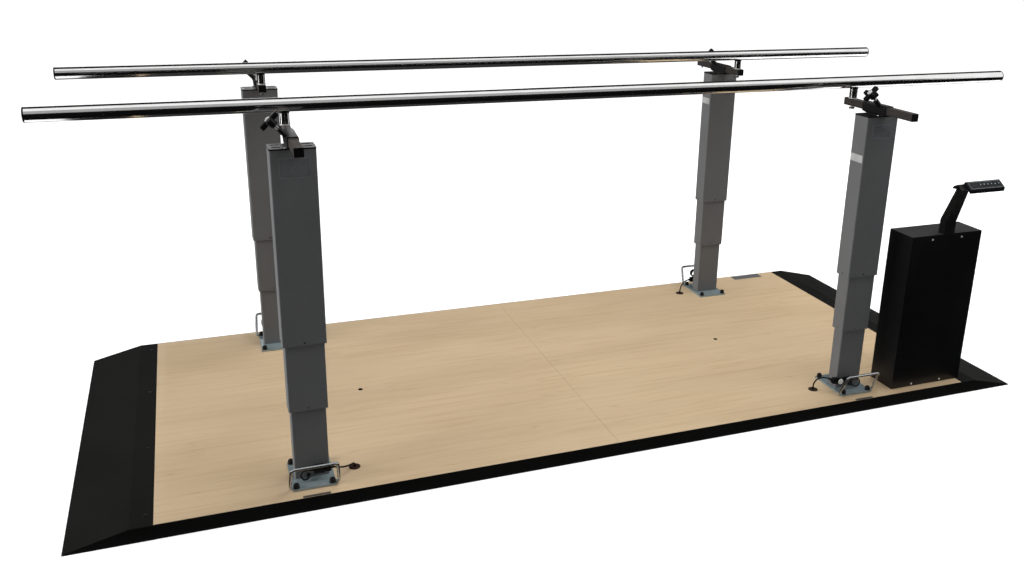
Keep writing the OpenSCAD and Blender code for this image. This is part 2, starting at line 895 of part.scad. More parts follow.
// Plugs in the ends of one rail and of its arms
module end_plugs(sy) {
    color([0.07, 0.07, 0.07])
    at_rail(sy) {
        for (s = [-1, 1])
            translate([s * rail_l / 2, 0, rail_z])
                rotate([0, s * 90, 0]) {
                    translate([0, 0, -plug_depth])
                        cylinder(d = rail_d - 2 * (rail_wall + run_fit), h = plug_depth + 1);
                    rotate_extrude() {
                        square([rail_d / 2, plug_t - plug_r]);
                        square([rail_d / 2 - plug_r, plug_t]);
                        translate([rail_d / 2 - plug_r, plug_t - plug_r])
                            circle(plug_r);
                    }
                }
        for (x = [-col_x, col_x], end = [[arm_reach, -90], [-arm_in, 90]])
            translate([x, end[0], arm_z])
                rotate([end[1], 0, 0]) {
                    translate([0, 0, -arm_plug_depth])
                        linear_extrude(arm_plug_depth + 1)
                            round_rect(arm_s - 2 * arm_wall, arm_s - 2 * arm_wall, 0.5);
                    linear_extrude(arm_plug_t)
                        round_rect(arm_s, arm_s, arm_r);
                }
    }
}

module floor_grommets() {
    color([0.16, 0.1, 0.08])
    each_column(true)
        translate([grommet_off, -2, 0])
            difference() {
                union() {
                    translate([0, 0, deck_h])
                        cylinder(d = grommet_d, h = grommet_h);
                    translate([0, 0, bearer_h])
                        cylinder(d = grommet_bore, h = deck_t + 1);
                }
                translate([0, 0, bearer_h - over])
                    cylinder(d = lead_d + 2 * slip, h = deck_t + grommet_h + 2 * over);
            }
}

// Leads from the columns to the connectors
module column_leads() {
    color([0.07, 0.07, 0.07])
    for (sx = [-1, 1], sy = [-1, 1])
        at_column(sx, sy, true)
            sweep(lifted(sy < 0 ? lead_loop : lead_hank), lead_d);
}

// Gland on each lower tube and the connector on its lead, in two halves
module lead_fittings() {
    socket_l = connector_l * 0.6;
    color([0.05, 0.05, 0.05])
    each_column(true) {
        translate([gland_x, face - tube_wall, plate_z + gland_z])
            rotate([-90, 0, 0]) {
                cylinder(d = lead_d, h = tube_wall + 1);
                translate([0, 0, tube_wall])
                    cylinder(d = gland_d, h = 4);
                translate([0, 0, tube_wall])
                    cylinder(d = gland_d - 3, h = gland_l);
            }
        translate([connector_x, connector_out, plate_z + connector_z]) {
            translate([0, -connector_t / 2, -connector_h / 2])
                cube([socket_l, connector_t, connector_h]);
            translate([socket_l, -connector_t / 2 + 1, -connector_h / 2 + 2])
                cube([connector_l - socket_l, connector_t - 2, connector_h - 4]);
        }
    }
}

// Leads from the connectors through the grommets and under the deck to the cabinet
module deck_leads() {
    color([0.07, 0.07, 0.07]) {
        sweep(concat(at_foot(-1, -1, lead_tail), front_left_run), lead_d);
        sweep(concat(at_foot(1, -1, lead_tail), front_right_run), lead_d);
        sweep(concat(at_foot(-1, 1, lead_tail), rear_left_run), lead_d);
        sweep(concat(at_foot(1, 1, lead_tail), rear_right_run), lead_d);
    }
}

// Folded sheet shell, open at the front, with a screw flange at top and bottom
module cabinet_shell() {
    inner_w = box_w - 2 * sheet_t;
    flange_y = box_front + 1.5 * sheet_t;
    color([0.07, 0.07, 0.07])
    difference() {
        union() {
            difference() {
                translate([box_x, box_y + sheet_t / 2, 0])
                    block(box_w, box_d - sheet_t, deck_h, box_top);
                translate([box_x, box_y - sheet_t, 0])
                    block(inner_w, box_d, deck_h + sheet_t, box_top - sheet_t);
            }
            for (z = [deck_h, box_top - flange_h])
                translate([box_x, flange_y, 0])
                    block(inner_w + 1, sheet_t, z + 0.5, z + flange_h - 0.5);
        }
        translate([port_x, box_y, 0])
            block(port_w, port_d, deck_h - over, deck_h + sheet_t + over);
        translate([inlet_x, box_y + box_d / 2, inlet_z])
            rotate([90, 0, 0])
                linear_extrude(3 * sheet_t, center = true)
                    round_rect(inlet_w, inlet_h, 3);
        at_cover_screws()
            cylinder(d = cover_screw_d, h = 12, center = true);
    }
}

module at_cover_screws() {
    for (x = [-1, 1], z = [deck_h + cover_screw_low, box_top - cover_screw_high])
        translate([box_x + x * cover_screw_x, box_front, z])
            rotate([90, 0, 0])
                children();
}

module cabinet_cover() {
    color([0.05, 0.05, 0.05])
    difference() {
        translate([box_x, box_front + sheet_t / 2, 0])
            block(box_w, sheet_t, deck_h, box_top);
        at_cover_screws()
            cylinder(d = cover_screw_d, h = 12, center = true);
    }
}

module cabinet_screws() {
    color("silver")
    at_cover_screws() {
        cylinder(d = cover_head_d, h = cover_head_h);
        translate([0, 0, -3 * sheet_t])
            cylinder(d = cover_screw_d, h = 3 * sheet_t + 1);
    }
}

module power_unit() {
    color("darkgray")
    translate([power_x, box_y + box_d / 2 - sheet_t - power_d / 2, 0])
        block(power_w, power_d, power_z, power_z + power_h);
}

module mains_inlet() {
    color([0.05, 0.05, 0.05])
    translate([inlet_x, box_y + box_d / 2, inlet_z])
        rotate([-90, 0, 0])
            difference() {
                union() {
                    linear_extrude(2)
                        round_rect(inlet_w + 12, inlet_h + 8, 3);
                    translate([0, 0, -inlet_depth])
                        linear_extrude(inlet_depth + 1)
                            round_rect(inlet_w, inlet_h, 3);
                }
                translate([0, 0, 4 - inlet_depth])
                    linear_extrude(inlet_depth)
                        round_rect(inlet_w - 2 * inlet_wall, inlet_h - 2 * inlet_wall, 3);
            }
}

// Side view of the bent bracket tube, drawn inwards of its outside by t
module bracket_side(t) {
    h = bracket_d / 2 - t;
    k = h * tan(bracket_lean / 2);
    rise = bracket_rise + 60;
    polygon([[-h, box_top], [h, box_top], [h, bend_z + k],
        [h - (rise - k) * tan(bracket_lean), bend_z + rise],
        [-h - (rise + k) * tan(bracket_lean), bend_z + rise], [-h, bend_z - k]]);
}

// Front view of the bracket tube, which narrows above its bend
module bracket_front(t) {
    h = bracket_w / 2 - t;
    slope = (bracket_w - bracket_top_w) / 2 / bracket_rise;
    rise = bracket_rise + 60;
    polygon([[-h, box_top], [h, box_top], [h, bend_z], [h - rise * slope, bend_z + rise],
        [rise * slope - h, bend_z + rise], [-h, bend_z]]);
}

module bracket_tube(t) {
    translate([0, bracket_y, 0])
        intersection() {
            rotate([90, 0, 90])
                linear_extrude(2 * bracket_w, center = true)
                    bracket_side(t);
            rotate([90, 0, 0])
                linear_extrude(8 * bracket_w, center = true)
                    bracket_front(t);
        }
}

// Strap of the folded saddle from a bend, at an angle down from level
module strap(l, tilt) {
    rotate(tilt)
        translate([0, -saddle_t])
            square([l, saddle_t]);
}

// Cheek that closes one end of the saddle, down to the foot of its lip
module saddle_cheek() {
    half = saddle_t / 2;
    lip_y = saddle_wing + saddle_lip * cos(lip_tilt) - half * sin(lip_tilt);
    lip_z = -saddle_drop - saddle_lip * sin(lip_tilt);
    polygon([[0, -half], [saddle_wing, -saddle_drop - half], [lip_y, lip_z], [0, lip_z]]);
}

// Bent bracket with a folded saddle. The front of the saddle carries the handset.
module handset_bracket() {
    color([0.06, 0.06, 0.06])
    translate([bracket_x, 0, 0]) {
        difference() {
            bracket_tube(0);
            bracket_tube(sheet_t);
            translate([0, ridge_y, ridge_z - saddle_t / 2])
                rotate([90, 0, 90])
                    linear_extrude(2 * bracket_w, center = true)
                        polygon([[0, 0], [saddle_wing, -saddle_drop], [4 * saddle_wing, -saddle_drop],
                            [4 * saddle_wing, cut_reach], [-cut_reach, cut_reach],
                            [-cut_reach, -cut_reach * tan(face_tilt)]]);
        }
        translate([0, ridge_y, ridge_z])
            rotate([90, 0, 90]) {
                linear_extrude(saddle_w, center = true) {
                    strap(saddle_wing / cos(saddle_back), -saddle_back);
                    translate([saddle_wing, -saddle_drop])
                        strap(saddle_lip, -lip_tilt);
                }
                for (x = [-1, 1])
                    translate([0, 0, x * (saddle_w - sheet_t) / 2])
                        linear_extrude(sheet_t, center = true)
                            saddle_cheek();
                translate([0, 0, -saddle_w / 2])
                    linear_extrude(shelf_w)
                        mirror([1, 0])
                            strap(saddle_front, -face_tilt);
            }
    }
}

// Puts what is drawn on the handset's upper face in place, with Z away from the face
// and Y up the slope from its front edge
module on_face() {
    translate([hand_x, ridge_y, ridge_z])
        rotate([face_tilt, 0, 0])
            translate([0, -hand_d, hand_t])
                children();
}

function button_x(i) = first_button + (i - 1) * button_pitch;

// Handset case with an upright front and a pocket for each button
module handset_case() {
    color([0.1, 0.11, 0.12])
    on_face()
        difference() {
            rotate([90, 0, 90])
                linear_extrude(hand_w, center = true)
                    polygon([[0, 0], [hand_d, 0], [hand_d, -hand_t], [-hand_t * tan(face_tilt), -hand_t]]);
            for (i = [1:6])
                translate([button_x(i), hand_d / 2, 0])
                    block(button_w + 2 * key_gap, button_d + 2 * key_gap, -pocket_d, over);
        }
}

module button(i) {
    color([0.2, 0.2, 0.22])
    on_face()
        translate([button_x(i), hand_d / 2, 0])
            block(button_w, button_d, -button_in, button_h);
}

deck_left();
deck_right();
ramp_left();
ramp_right();
side_skirts();
deck_bearers();
deck_screws();
base_plates();
plate_bolts();
lower_tubes();
lift_nuts();
floor_grommets();
column_leads();
lead_fittings();
deck_leads();
cabinet_shell();
cabinet_cover();
cabinet_screws();
power_unit();
mains_inlet();
handset_bracket();
handset_case();
button(1);  // button_1
button(2);  // button_2
button(3);  // button_3
button(4);  // button_4
button(5);  // button_5
button(6);  // button_6
middle_tube(-1, -1);  // middle_tube_fl
middle_tube(1, -1);  // middle_tube_fr
middle_tube(-1, 1);  // middle_tube_rl
middle_tube(1, 1);  // middle_tube_rr
upper_tube(-1, -1);  // upper_tube_fl
upper_tube(1, -1);  // upper_tube_fr
upper_tube(-1, 1);  // upper_tube_rl
upper_tube(1, 1);  // upper_tube_rr
column_head(-1, -1);  // column_head_fl
column_head(1, -1);  // column_head_fr
column_head(-1, 1);  // column_head_rl
column_head(1, 1);  // column_head_rr
lift_drive(-1, -1);  // lift_drive_fl
lift_drive(1, -1);  // lift_drive_fr
lift_drive(-1, 1);  // lift_drive_rl
lift_drive(1, 1);  // lift_drive_rr
clamp_knob(-1, -1);  // clamp_knob_fl
clamp_knob(1, -1);  // clamp_knob_fr
clamp_knob(-1, 1);  // clamp_knob_rl
clamp_knob(1, 1);  // clamp_knob_rr
bail(-1, -1);  // bail_fl
bail(1, -1);  // bail_fr
bail(-1, 1);  // bail_rl
bail(1, 1);  // bail_rr
rail(-1);  // front_rail
end_plugs(-1);  // front_end_plugs
arms(-1);  // front_arms
posts(-1);  // front_posts
rail(1);  // rear_rail
end_plugs(1);  // rear_end_plugs
arms(1);  // rear_arms
posts(1);  // rear_posts
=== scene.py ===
"""Looks of the powered walking bars: deck, ramps, lift columns, handrails, cabinet and handset."""

import math

import bmesh
import bpy
from bpy.props import FloatProperty, FloatVectorProperty, PointerProperty
from bpy.types import Operator, Panel, PropertyGroup
from mathutils import Matrix, Vector


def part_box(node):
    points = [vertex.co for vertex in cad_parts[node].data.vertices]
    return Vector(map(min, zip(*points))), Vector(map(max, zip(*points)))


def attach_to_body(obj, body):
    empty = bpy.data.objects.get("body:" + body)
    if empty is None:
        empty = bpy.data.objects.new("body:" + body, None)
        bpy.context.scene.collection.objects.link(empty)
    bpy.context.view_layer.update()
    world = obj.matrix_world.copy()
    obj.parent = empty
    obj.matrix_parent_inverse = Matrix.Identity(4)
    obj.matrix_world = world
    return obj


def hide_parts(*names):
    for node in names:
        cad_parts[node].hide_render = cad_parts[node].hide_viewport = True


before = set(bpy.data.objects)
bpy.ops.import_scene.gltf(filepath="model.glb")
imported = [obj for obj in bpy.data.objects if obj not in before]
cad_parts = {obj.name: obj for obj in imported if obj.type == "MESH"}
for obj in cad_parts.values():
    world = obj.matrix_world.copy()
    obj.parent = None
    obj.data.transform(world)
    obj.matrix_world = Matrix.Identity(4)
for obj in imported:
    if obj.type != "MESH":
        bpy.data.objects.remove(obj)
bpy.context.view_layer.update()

bl_info = {
    "name": "Powered Walking Bars",
    "version": (1, 0, 0),
    "blender": (4, 5, 0),
    "location": "View3D > Sidebar > Walking Bars",
    "description": "Builds the finish and the small parts of a set of powered walking bars",
    "category": "Object",
}

COLUMNS = {"fl": (-1, -1), "fr": (1, -1), "rl": (-1, 1), "rr": (1, 1)}
MM = 0.001

# Places taken from the frame, in metres
UPPER_LOW, UPPER_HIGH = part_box("upper_tube_fr")
MIDDLE_LOW, MIDDLE_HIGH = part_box("middle_tube_fr")
ARM_LOW, ARM_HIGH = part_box("front_arms")
COVER_LOW, COVER_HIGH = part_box("cabinet_cover")
SHELL_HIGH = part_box("cabinet_shell")[1]
DECK_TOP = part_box("deck_right")[1].z
COLUMN_X = (UPPER_LOW.x + UPPER_HIGH.x) / 2
COLUMN_Y = -(UPPER_LOW.y + UPPER_HIGH.y) / 2
UPPER_HALF_W = (UPPER_HIGH.x - UPPER_LOW.x) / 2
UPPER_HALF_D = (UPPER_HIGH.y - UPPER_LOW.y) / 2
MIDDLE_HALF_W = (MIDDLE_HIGH.x - MIDDLE_LOW.x) / 2
MIDDLE_HALF_D = (MIDDLE_HIGH.y - MIDDLE_LOW.y) / 2
PLATE_TOP = DECK_TOP + 6 * MM
ARM_Z = (ARM_LOW.z + ARM_HIGH.z) / 2
CAP_TOP = UPPER_HIGH.z + 4 * MM
# Places on a column in millimetres, from its middle line: half the depth of the lower tube, the bolts and
# the bail's hinge on the plate, the bail's lean in degrees, the screws and vent slots of the cap, the
# clamp screw's place on the arm and the floor grommet
LOWER_FACE = 22.5
BOLT_X, BOLT_Y = 49.5, 68.0
BAIL_Y, BAIL_Z, BAIL_LEAN = 68.0, 50.0, 23
FOOT_SCREW_X, FOOT_SCREW_Y = 18.6, 28.6
VENT_X, VENT_Y = 39.0, (-17.5, 12.5)
CLAMP_Y, CLAMP_SLOPE = 23.0, 45
GROMMET_X, GROMMET_Y = 122, -2
# Places on the platform in metres: the divider sockets and the screws of the ramp strips
SOCKET_X = 0.683
STRIP_X, STRIP_Y = 1.345, (-0.550, -0.185, 0.195, 0.550)


# Settings


def color_property(name, description, default):
    return FloatVectorProperty(name=name, description=description, subtype="COLOR", default=default,
                               min=0.0, max=1.0)


class StageSettings(PropertyGroup):
    key_power: FloatProperty(name="Key Power", description="Power of the wide lamp on the left",
                             default=860.0, min=0.0, unit="POWER")
    top_power: FloatProperty(name="Top Power", description="Power of the soft lamp overhead",
                             default=252.0, min=0.0, unit="POWER")
    front_power: FloatProperty(name="Front Power", description="Power of the lamp at the front right",
                               default=115.0, min=0.0, unit="POWER")
    sky_strength: FloatProperty(name="Sky Strength", description="Light from all round",
                                default=0.03, min=0.0)
    backdrop: color_property("Backdrop", "Colour behind the object", (1.0, 1.0, 1.0))


class WoodSettings(PropertyGroup):
    maple_light: color_property("Maple Light", "Light streaks of the deck", (0.56, 0.425, 0.27))
    maple_dark: color_property("Maple Dark", "Dark streaks of the deck", (0.49, 0.355, 0.215))
    fleck: color_property("Fleck", "Short dark flecks in the deck", (0.33, 0.21, 0.115))


class PaintSettings(PropertyGroup):
    column_grey: color_property("Column Grey", "Powder coat of the lift columns", (0.142, 0.145, 0.148))
    ramp_black: color_property("Ramp Black", "Paint of ramps and skirts", (0.0075, 0.0075, 0.0071))
    cabinet_black: color_property("Cabinet Black", "Gloss paint of the cabinet", (0.0045, 0.0045, 0.005))


class TrimSettings(PropertyGroup):
    edge: FloatProperty(name="Edge Radius", description="Rounding of sheet metal edges", default=0.0005,
                        min=0.0, unit="LENGTH")
    thread_pitch: FloatProperty(name="Thread Pitch", description="Pitch of the clamp screws", default=0.00125,
                                min=0.0005, unit="LENGTH")
    sticker: FloatProperty(name="Sticker Thickness", description="Thickness of the blank stickers",
                           default=0.0004, min=0.0001, unit="LENGTH")


class BarsSettings(PropertyGroup):
    stage: PointerProperty(type=StageSettings)
    wood: PointerProperty(type=WoodSettings)
    paint: PointerProperty(type=PaintSettings)
    trim: PointerProperty(type=TrimSettings)


def settings():
    return bpy.context.scene.walking_bars


# Finishes

FINISHES = {}


class Nodes:
    """A node tree under construction."""

    def __init__(self, owner, clear=True):
        owner.use_nodes = True
        self.tree = owner.node_tree
        if clear:
            self.tree.nodes.clear()

    def node(self, kind, **values):
        """Adds a node. A value's name is an input, with _ for a space, or a property of the node."""
        node = self.tree.nodes.new(kind)
        for key, value in values.items():
            socket = key.replace("_", " ")
            if socket in node.inputs:
                node.inputs[socket].default_value = value
            else:
                setattr(node, key, value)
        return node

    def link(self, source, target):
        self.tree.links.new(source, target)


class Finish(Nodes):
    """A material under construction, with short ways to add the nodes that all finishes use."""

    def __init__(self, name, color, roughness, metallic=0.0):
        self.material = bpy.data.materials.new(name)
        super().__init__(self.material, False)
        self.shader = self.tree.nodes["Principled BSDF"]
        self.tune(Base_Color=(*color, 1.0), Roughness=roughness, Metallic=metallic)
        FINISHES[name] = self.material

    def tune(self, **values):
        """Sets inputs of the shader, with _ for a space in a name."""
        for key, value in values.items():
            self.shader.inputs[key.replace("_", " ")].default_value = value

    def place(self, scale=(1.0, 1.0, 1.0), location=(0.0, 0.0, 0.0)):
        """Object coordinates, stretched by scale."""
        coordinates = self.node("ShaderNodeTexCoord")
        mapping = self.node("ShaderNodeMapping", Scale=scale, Location=location)
        self.link(coordinates.outputs["Object"], mapping.inputs["Vector"])
        return mapping.outputs["Vector"]

    def noise(self, vector, scale, detail=3.0, roughness=0.5, distortion=0.0):
        noise = self.node("ShaderNodeTexNoise", Scale=scale, Detail=detail, Roughness=roughness,
                          Distortion=distortion)
        self.link(vector, noise.inputs["Vector"])
        return noise.outputs["Fac"]

    def ramp(self, value, *stops):
        ramp = self.node("ShaderNodeValToRGB")
        elements = ramp.color_ramp.elements
        while len(elements) < len(stops):
            elements.new(0.5)
        for element, (position, color) in zip(elements, stops):
            element.position = position
            element.color = (*color, 1.0) if hasattr(color, "__len__") else (color, color, color, 1.0)
        self.link(value, ramp.inputs["Fac"])
        return ramp.outputs["Color"]

    def mix(self, factor, a, b, blend="MIX"):
        mix = self.node("ShaderNodeMix", data_type="RGBA", blend_type=blend)
        for value, socket in ((factor, mix.inputs[0]), (a, mix.inputs[6]), (b, mix.inputs[7])):
            if isinstance(value, bpy.types.NodeSocket):
                self.link(value, socket)
            else:
                socket.default_value = value if not hasattr(value, "__len__") else (*value, 1.0)
        return mix.outputs[2]

    def color(self, value):
        self.link(value, self.shader.inputs["Base Color"])

    def rough(self, value):
        self.link(value, self.shader.inputs["Roughness"])

    def bump(self, value, strength, distance):
        bump = self.node("ShaderNodeBump", Strength=strength, Distance=distance)
        self.link(value, bump.inputs["Height"])
        self.link(bump.outputs["Normal"], self.shader.inputs["Normal"])


def shade(color, factor):
    return tuple(min(1.0, channel * factor) for channel in color)


def make_maple():
    """Pale maple laminate: fine streaks, a soft mottle and short dark flecks, under satin lacquer."""
    wood = settings().wood
    finish = Finish("maple", wood.maple_light, 0.5)
    streaks = finish.noise(finish.place((2.2, 42.0, 42.0)), 1.5, 6.0, 0.6, 0.35)
    base = finish.ramp(streaks, (0.28, wood.maple_dark), (0.5, shade(wood.maple_light, 0.965)),
                       (0.74, wood.maple_light))
    mottle = finish.ramp(finish.noise(finish.place((0.7, 2.6, 2.6)), 2.2, 3.0),
                         (0.35, (0.93, 0.915, 0.90)), (0.65, (1.03, 1.03, 1.03)))
    tinted = finish.mix(1.0, base, mottle, "MULTIPLY")
    flecks = finish.noise(finish.place((16.0, 210.0, 210.0)), 1.0, 2.0, 0.4, 0.3)
    veil = finish.noise(finish.place((1.6, 4.0, 4.0), location=(3.0, 1.0, 0.0)), 3.0, 2.0)
    mask = finish.ramp(finish.mix(1.0, flecks, veil, "MULTIPLY"), (0.37, 0.0), (0.47, 0.42))
    finish.color(finish.mix(mask, tinted, wood.fleck))
    pores = finish.noise(finish.place((30.0, 420.0, 420.0)), 1.0, 2.0)
    finish.rough(finish.ramp(pores, (0.3, 0.46), (0.7, 0.56)))
    finish.bump(pores, 0.10, 0.0003)
    finish.tune(Specular_IOR_Level=0.35)


def make_plywood():
    finish = Finish("plywood", (0.50, 0.37, 0.22), 0.7)
    layers = finish.noise(finish.place((3.0, 3.0, 240.0)), 1.0, 2.0)
    grain = finish.noise(finish.place((14.0, 1.5, 14.0)), 6.0, 5.0, 0.6)
    finish.color(finish.mix(finish.ramp(layers, (0.45, 0.0), (0.55, 0.6)),
                            finish.ramp(grain, (0.3, (0.42, 0.29, 0.16)), (0.7, (0.60, 0.46, 0.29))),
                            (0.30, 0.19, 0.10)))
    finish.bump(grain, 0.3, 0.0005)


def make_paint(name, color, roughness, grain, bump, worn=0.12, specular=0.5):
    """Paint over metal, with orange peel or powder grain and a slow change of shade."""
    finish = Finish(name, color, roughness)
    cloud = finish.noise(finish.place(), 5.0, 4.0)
    speckle = finish.noise(finish.place(), grain, 2.0, 0.6)
    tone = finish.ramp(cloud, (0.3, shade(color, 1.0 - worn)), (0.7, shade(color, 1.0 + worn)))
    dots = finish.ramp(speckle, (0.35, 0.86), (0.65, 1.12))
    finish.color(finish.mix(1.0, tone, dots, "MULTIPLY"))
    finish.rough(finish.ramp(cloud, (0.3, roughness * 0.9), (0.7, min(1.0, roughness * 1.12))))
    finish.bump(speckle, bump, 0.0002)
    finish.tune(Specular_IOR_Level=specular)


def make_metal(name, color, roughness, stretch, scratch=0.10, bump=0.05, spread=0.06, metallic=1.0):
    """Bare or plated metal. stretch draws its fine lines out along an axis."""
    finish = Finish(name, color, roughness, metallic)
    lines = finish.noise(finish.place(stretch), 1.0, 4.0, 0.6)
    cloud = finish.noise(finish.place(), 18.0, 3.0)
    tone = finish.ramp(lines, (0.3, shade(color, 1.0 - scratch)), (0.7, shade(color, 1.0 + scratch * 0.6)))
    haze = finish.ramp(cloud, (0.3, 0.94), (0.7, 1.04))
    finish.color(finish.mix(1.0, tone, haze, "MULTIPLY"))
    finish.rough(finish.ramp(lines, (0.3, max(0.02, roughness - spread)), (0.7, roughness + spread)))
    finish.bump(lines, bump, 0.0001)


def make_plastic(name, color, roughness, grain=900.0, bump=0.12, specular=0.5):
    finish = Finish(name, color, roughness)
    leather = finish.noise(finish.place(), grain, 2.0, 0.5)
    cloud = finish.noise(finish.place(), 25.0, 2.0)
    finish.color(finish.ramp(cloud, (0.3, shade(color, 0.85)), (0.7, shade(color, 1.2))))
    finish.rough(finish.ramp(leather, (0.3, roughness * 0.9), (0.7, min(1.0, roughness * 1.1))))
    finish.bump(leather, bump, 0.00015)
    finish.tune(Specular_IOR_Level=specular)


def make_finishes():
    paint = settings().paint
    make_maple()
    make_plywood()
    make_paint("ramp_coat", paint.ramp_black, 0.8, 520.0, 0.35, worn=0.25, specular=0.08)
    make_paint("column_coat", paint.column_grey, 0.55, 1400.0, 0.22, worn=0.05, specular=0.3)
    make_paint("head_coat", (0.008, 0.008, 0.008), 0.30, 900.0, 0.12, specular=0.45)
    make_paint("cabinet_coat", paint.cabinet_black, 0.34, 700.0, 0.10, worn=0.08, specular=0.4)
    # A lighter copy of the cabinet paint for the top faces: painted light on the top of the cabinet
    make_paint("cabinet_paint_lit_top", (0.026, 0.027, 0.026), 0.5, 700.0, 0.2, worn=0.08, specular=0.35)
    make_paint("bracket_coat", (0.006, 0.006, 0.0055), 0.5, 900.0, 0.15, specular=0.25)
    make_metal("polished_stainless", (0.88, 0.88, 0.875), 0.11, (2.0, 900.0, 900.0), 0.05, 0.02, 0.03)
    make_metal("bright_chrome", (0.66, 0.655, 0.64), 0.12, (200.0, 200.0, 40.0), 0.03, 0.01, 0.03)
    make_metal("bail_steel", (0.58, 0.60, 0.61), 0.27, (40.0, 40.0, 40.0), 0.04, 0.0, 0.02)
    make_metal("bright_zinc", (0.28, 0.345, 0.365), 0.20, (60.0, 60.0, 60.0), 0.05, 0.02, 0.04, 0.4)
    make_metal("arm_steel", (0.105, 0.092, 0.085), 0.42, (700.0, 6.0, 700.0), 0.12, 0.08, 0.06, 0.7)
    make_metal("screw_steel", (0.70, 0.70, 0.70), 0.22, (500.0, 500.0, 500.0), 0.08)
    make_metal("satin_steel", (0.80, 0.80, 0.79), 0.42, (300.0, 300.0, 300.0), 0.06, metallic=0.5)
    make_metal("dark_steel", (0.20, 0.20, 0.20), 0.35, (90.0, 90.0, 90.0), 0.08)
    make_metal("machined_brass", (0.70, 0.48, 0.20), 0.3, (400.0, 400.0, 30.0), 0.1)
    make_metal("cast_metal", (0.22, 0.22, 0.23), 0.5, (60.0, 60.0, 60.0), 0.2, 0.3)
    make_metal("folded_aluminium", (0.66, 0.66, 0.68), 0.34, (8.0, 500.0, 500.0), 0.08)
    make_plastic("cover_plastic", (0.004, 0.004, 0.004), 0.2, bump=0.03, specular=0.25)
    make_plastic("plug_plastic", (0.004, 0.004, 0.0045), 0.40, specular=0.22)
    make_plastic("knob_plastic", (0.005, 0.005, 0.0055), 0.38, specular=0.25)
    # Near-black matt finish for the patches over the cap slots: painted shade of the slots' depth
    make_plastic("painted_slot_shade", (0.002, 0.002, 0.002), 0.8, specular=0.04)
    make_plastic("grommet_rubber", (0.028, 0.014, 0.010), 0.6)
    make_plastic("lead_rubber", (0.004, 0.004, 0.004), 0.40, 1500.0, 0.08, specular=0.25)
    make_plastic("handset_shell", (0.005, 0.006, 0.007), 0.42, 1500.0, 0.08, specular=0.16)
    make_plastic("handset_ridge", (0.12, 0.13, 0.135), 0.38, 1500.0, 0.05)
    make_plastic("handset_panel", (0.0055, 0.007, 0.008), 0.36, 1500.0, 0.04, specular=0.2)
    make_plastic("handset_display", (0.004, 0.005, 0.0055), 0.25, 1500.0, 0.02, specular=0.2)
    make_plastic("button_plastic", (0.013, 0.016, 0.018), 0.42, 1500.0, 0.08, specular=0.25)
    make_plastic("button_mark", (0.42, 0.44, 0.45), 0.5, 1500.0, 0.05)
    make_plastic("blank_label", (0.125, 0.128, 0.135), 0.5, 1500.0, 0.03, specular=0.3)
    make_plastic("label_border", (0.20, 0.20, 0.21), 0.5, 1500.0, 0.03)
    make_plastic("silver_label", (0.40, 0.41, 0.41), 0.40, 1500.0, 0.03)
    make_plastic("white_cap", (0.86, 0.85, 0.82), 0.35, 1500.0, 0.03)
    make_plastic("deck_label", (0.050, 0.047, 0.044), 0.4, 1500.0, 0.03)
    make_plastic("grey_plate", (0.115, 0.115, 0.122), 0.4, 1500.0, 0.03, specular=0.3)


# Making pieces


def new_mesh(name, bm):
    """Turns a bmesh into a mesh."""
    mesh = bpy.data.meshes.new(name)
    bm.to_mesh(mesh)
    bm.free()
    return mesh


def new_object(name, data):
    """An object that is in the scene."""
    thing = bpy.data.objects.new(name, data)
    bpy.context.scene.collection.objects.link(thing)
    return thing


def finish_piece(name, bm, body, finish, replaces=(), angle=32.0):
    """Turns a bmesh in the frame of the whole set into a piece that rides on a body."""
    mesh = new_mesh(name, bm)
    mesh.materials.append(FINISHES[finish])
    mesh.shade_smooth()
    mesh.set_sharp_from_angle(angle=math.radians(angle))
    return attach(new_object(name, mesh), body, replaces)


def attach(piece, body, replaces=()):
    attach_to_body(piece, body)
    if replaces:
        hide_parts(*replaces)
    return piece


def coat(node, finish):
    """Gives a CAD node its material."""
    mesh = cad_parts[node].data
    mesh.materials.clear()
    mesh.materials.append(FINISHES[finish])


def node_copy(node):
    """A copy of a CAD node with its loose triangles merged into flat faces."""
    bm = bmesh.new()
    bm.from_mesh(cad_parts[node].data)
    bmesh.ops.remove_doubles(bm, verts=bm.verts, dist=1e-5)
    bmesh.ops.dissolve_limit(bm, angle_limit=math.radians(0.6), verts=bm.verts, edges=bm.edges)
    return bm


def round_edges(bm, width, segments=2, angle=40.0, only=None):
    edges = [e for e in bm.edges if len(e.link_faces) == 2 and e.calc_face_angle(0.0) > math.radians(angle)
             and (only is None or only(e))]
    bmesh.ops.bevel(bm, geom=edges, offset=width, offset_type="OFFSET", segments=segments, profile=0.5,
                    affect="EDGES", material=-1, clamp_overlap=True)


def dress(node, body, finish, width=None, segments=2, angle=40.0):
    """Replaces a CAD node by the same shape with its edges rounded."""
    bm = node_copy(node)
    round_edges(bm, settings().trim.edge if width is None else width, segments, angle)
    piece = finish_piece(node + "_finish", bm, body, finish, (node,))
    flatten_shading(piece)
    return piece


def flatten_shading(piece):
    """Keeps wide flat faces flat next to their rounded edges."""
    weighted = piece.modifiers.new("flat_faces", "WEIGHTED_NORMAL")
    weighted.mode = "FACE_AREA"
    weighted.weight = 100
    weighted.keep_sharp = True


def turned(degrees, axis):
    return Matrix.Rotation(math.radians(degrees), 4, axis)


def shift(x, y, z):
    return Matrix.Translation((x, y, z))


def in_mm(x, y, z):
    """A spot given in metres, from which lengths go on in millimetres."""
    return shift(x, y, z) @ Matrix.Scale(MM, 4)


def polar(radius, degrees):
    return radius * math.cos(math.radians(degrees)), radius * math.sin(math.radians(degrees))


def turn_out(bm):
    """Points all faces outwards."""
    bmesh.ops.recalc_face_normals(bm, faces=bm.faces)


def merge(bm, parts):
    """Adds the shapes of parts to bm."""
    mesh = new_mesh("parts", parts)
    bm.from_mesh(mesh)
    bpy.data.meshes.remove(mesh)


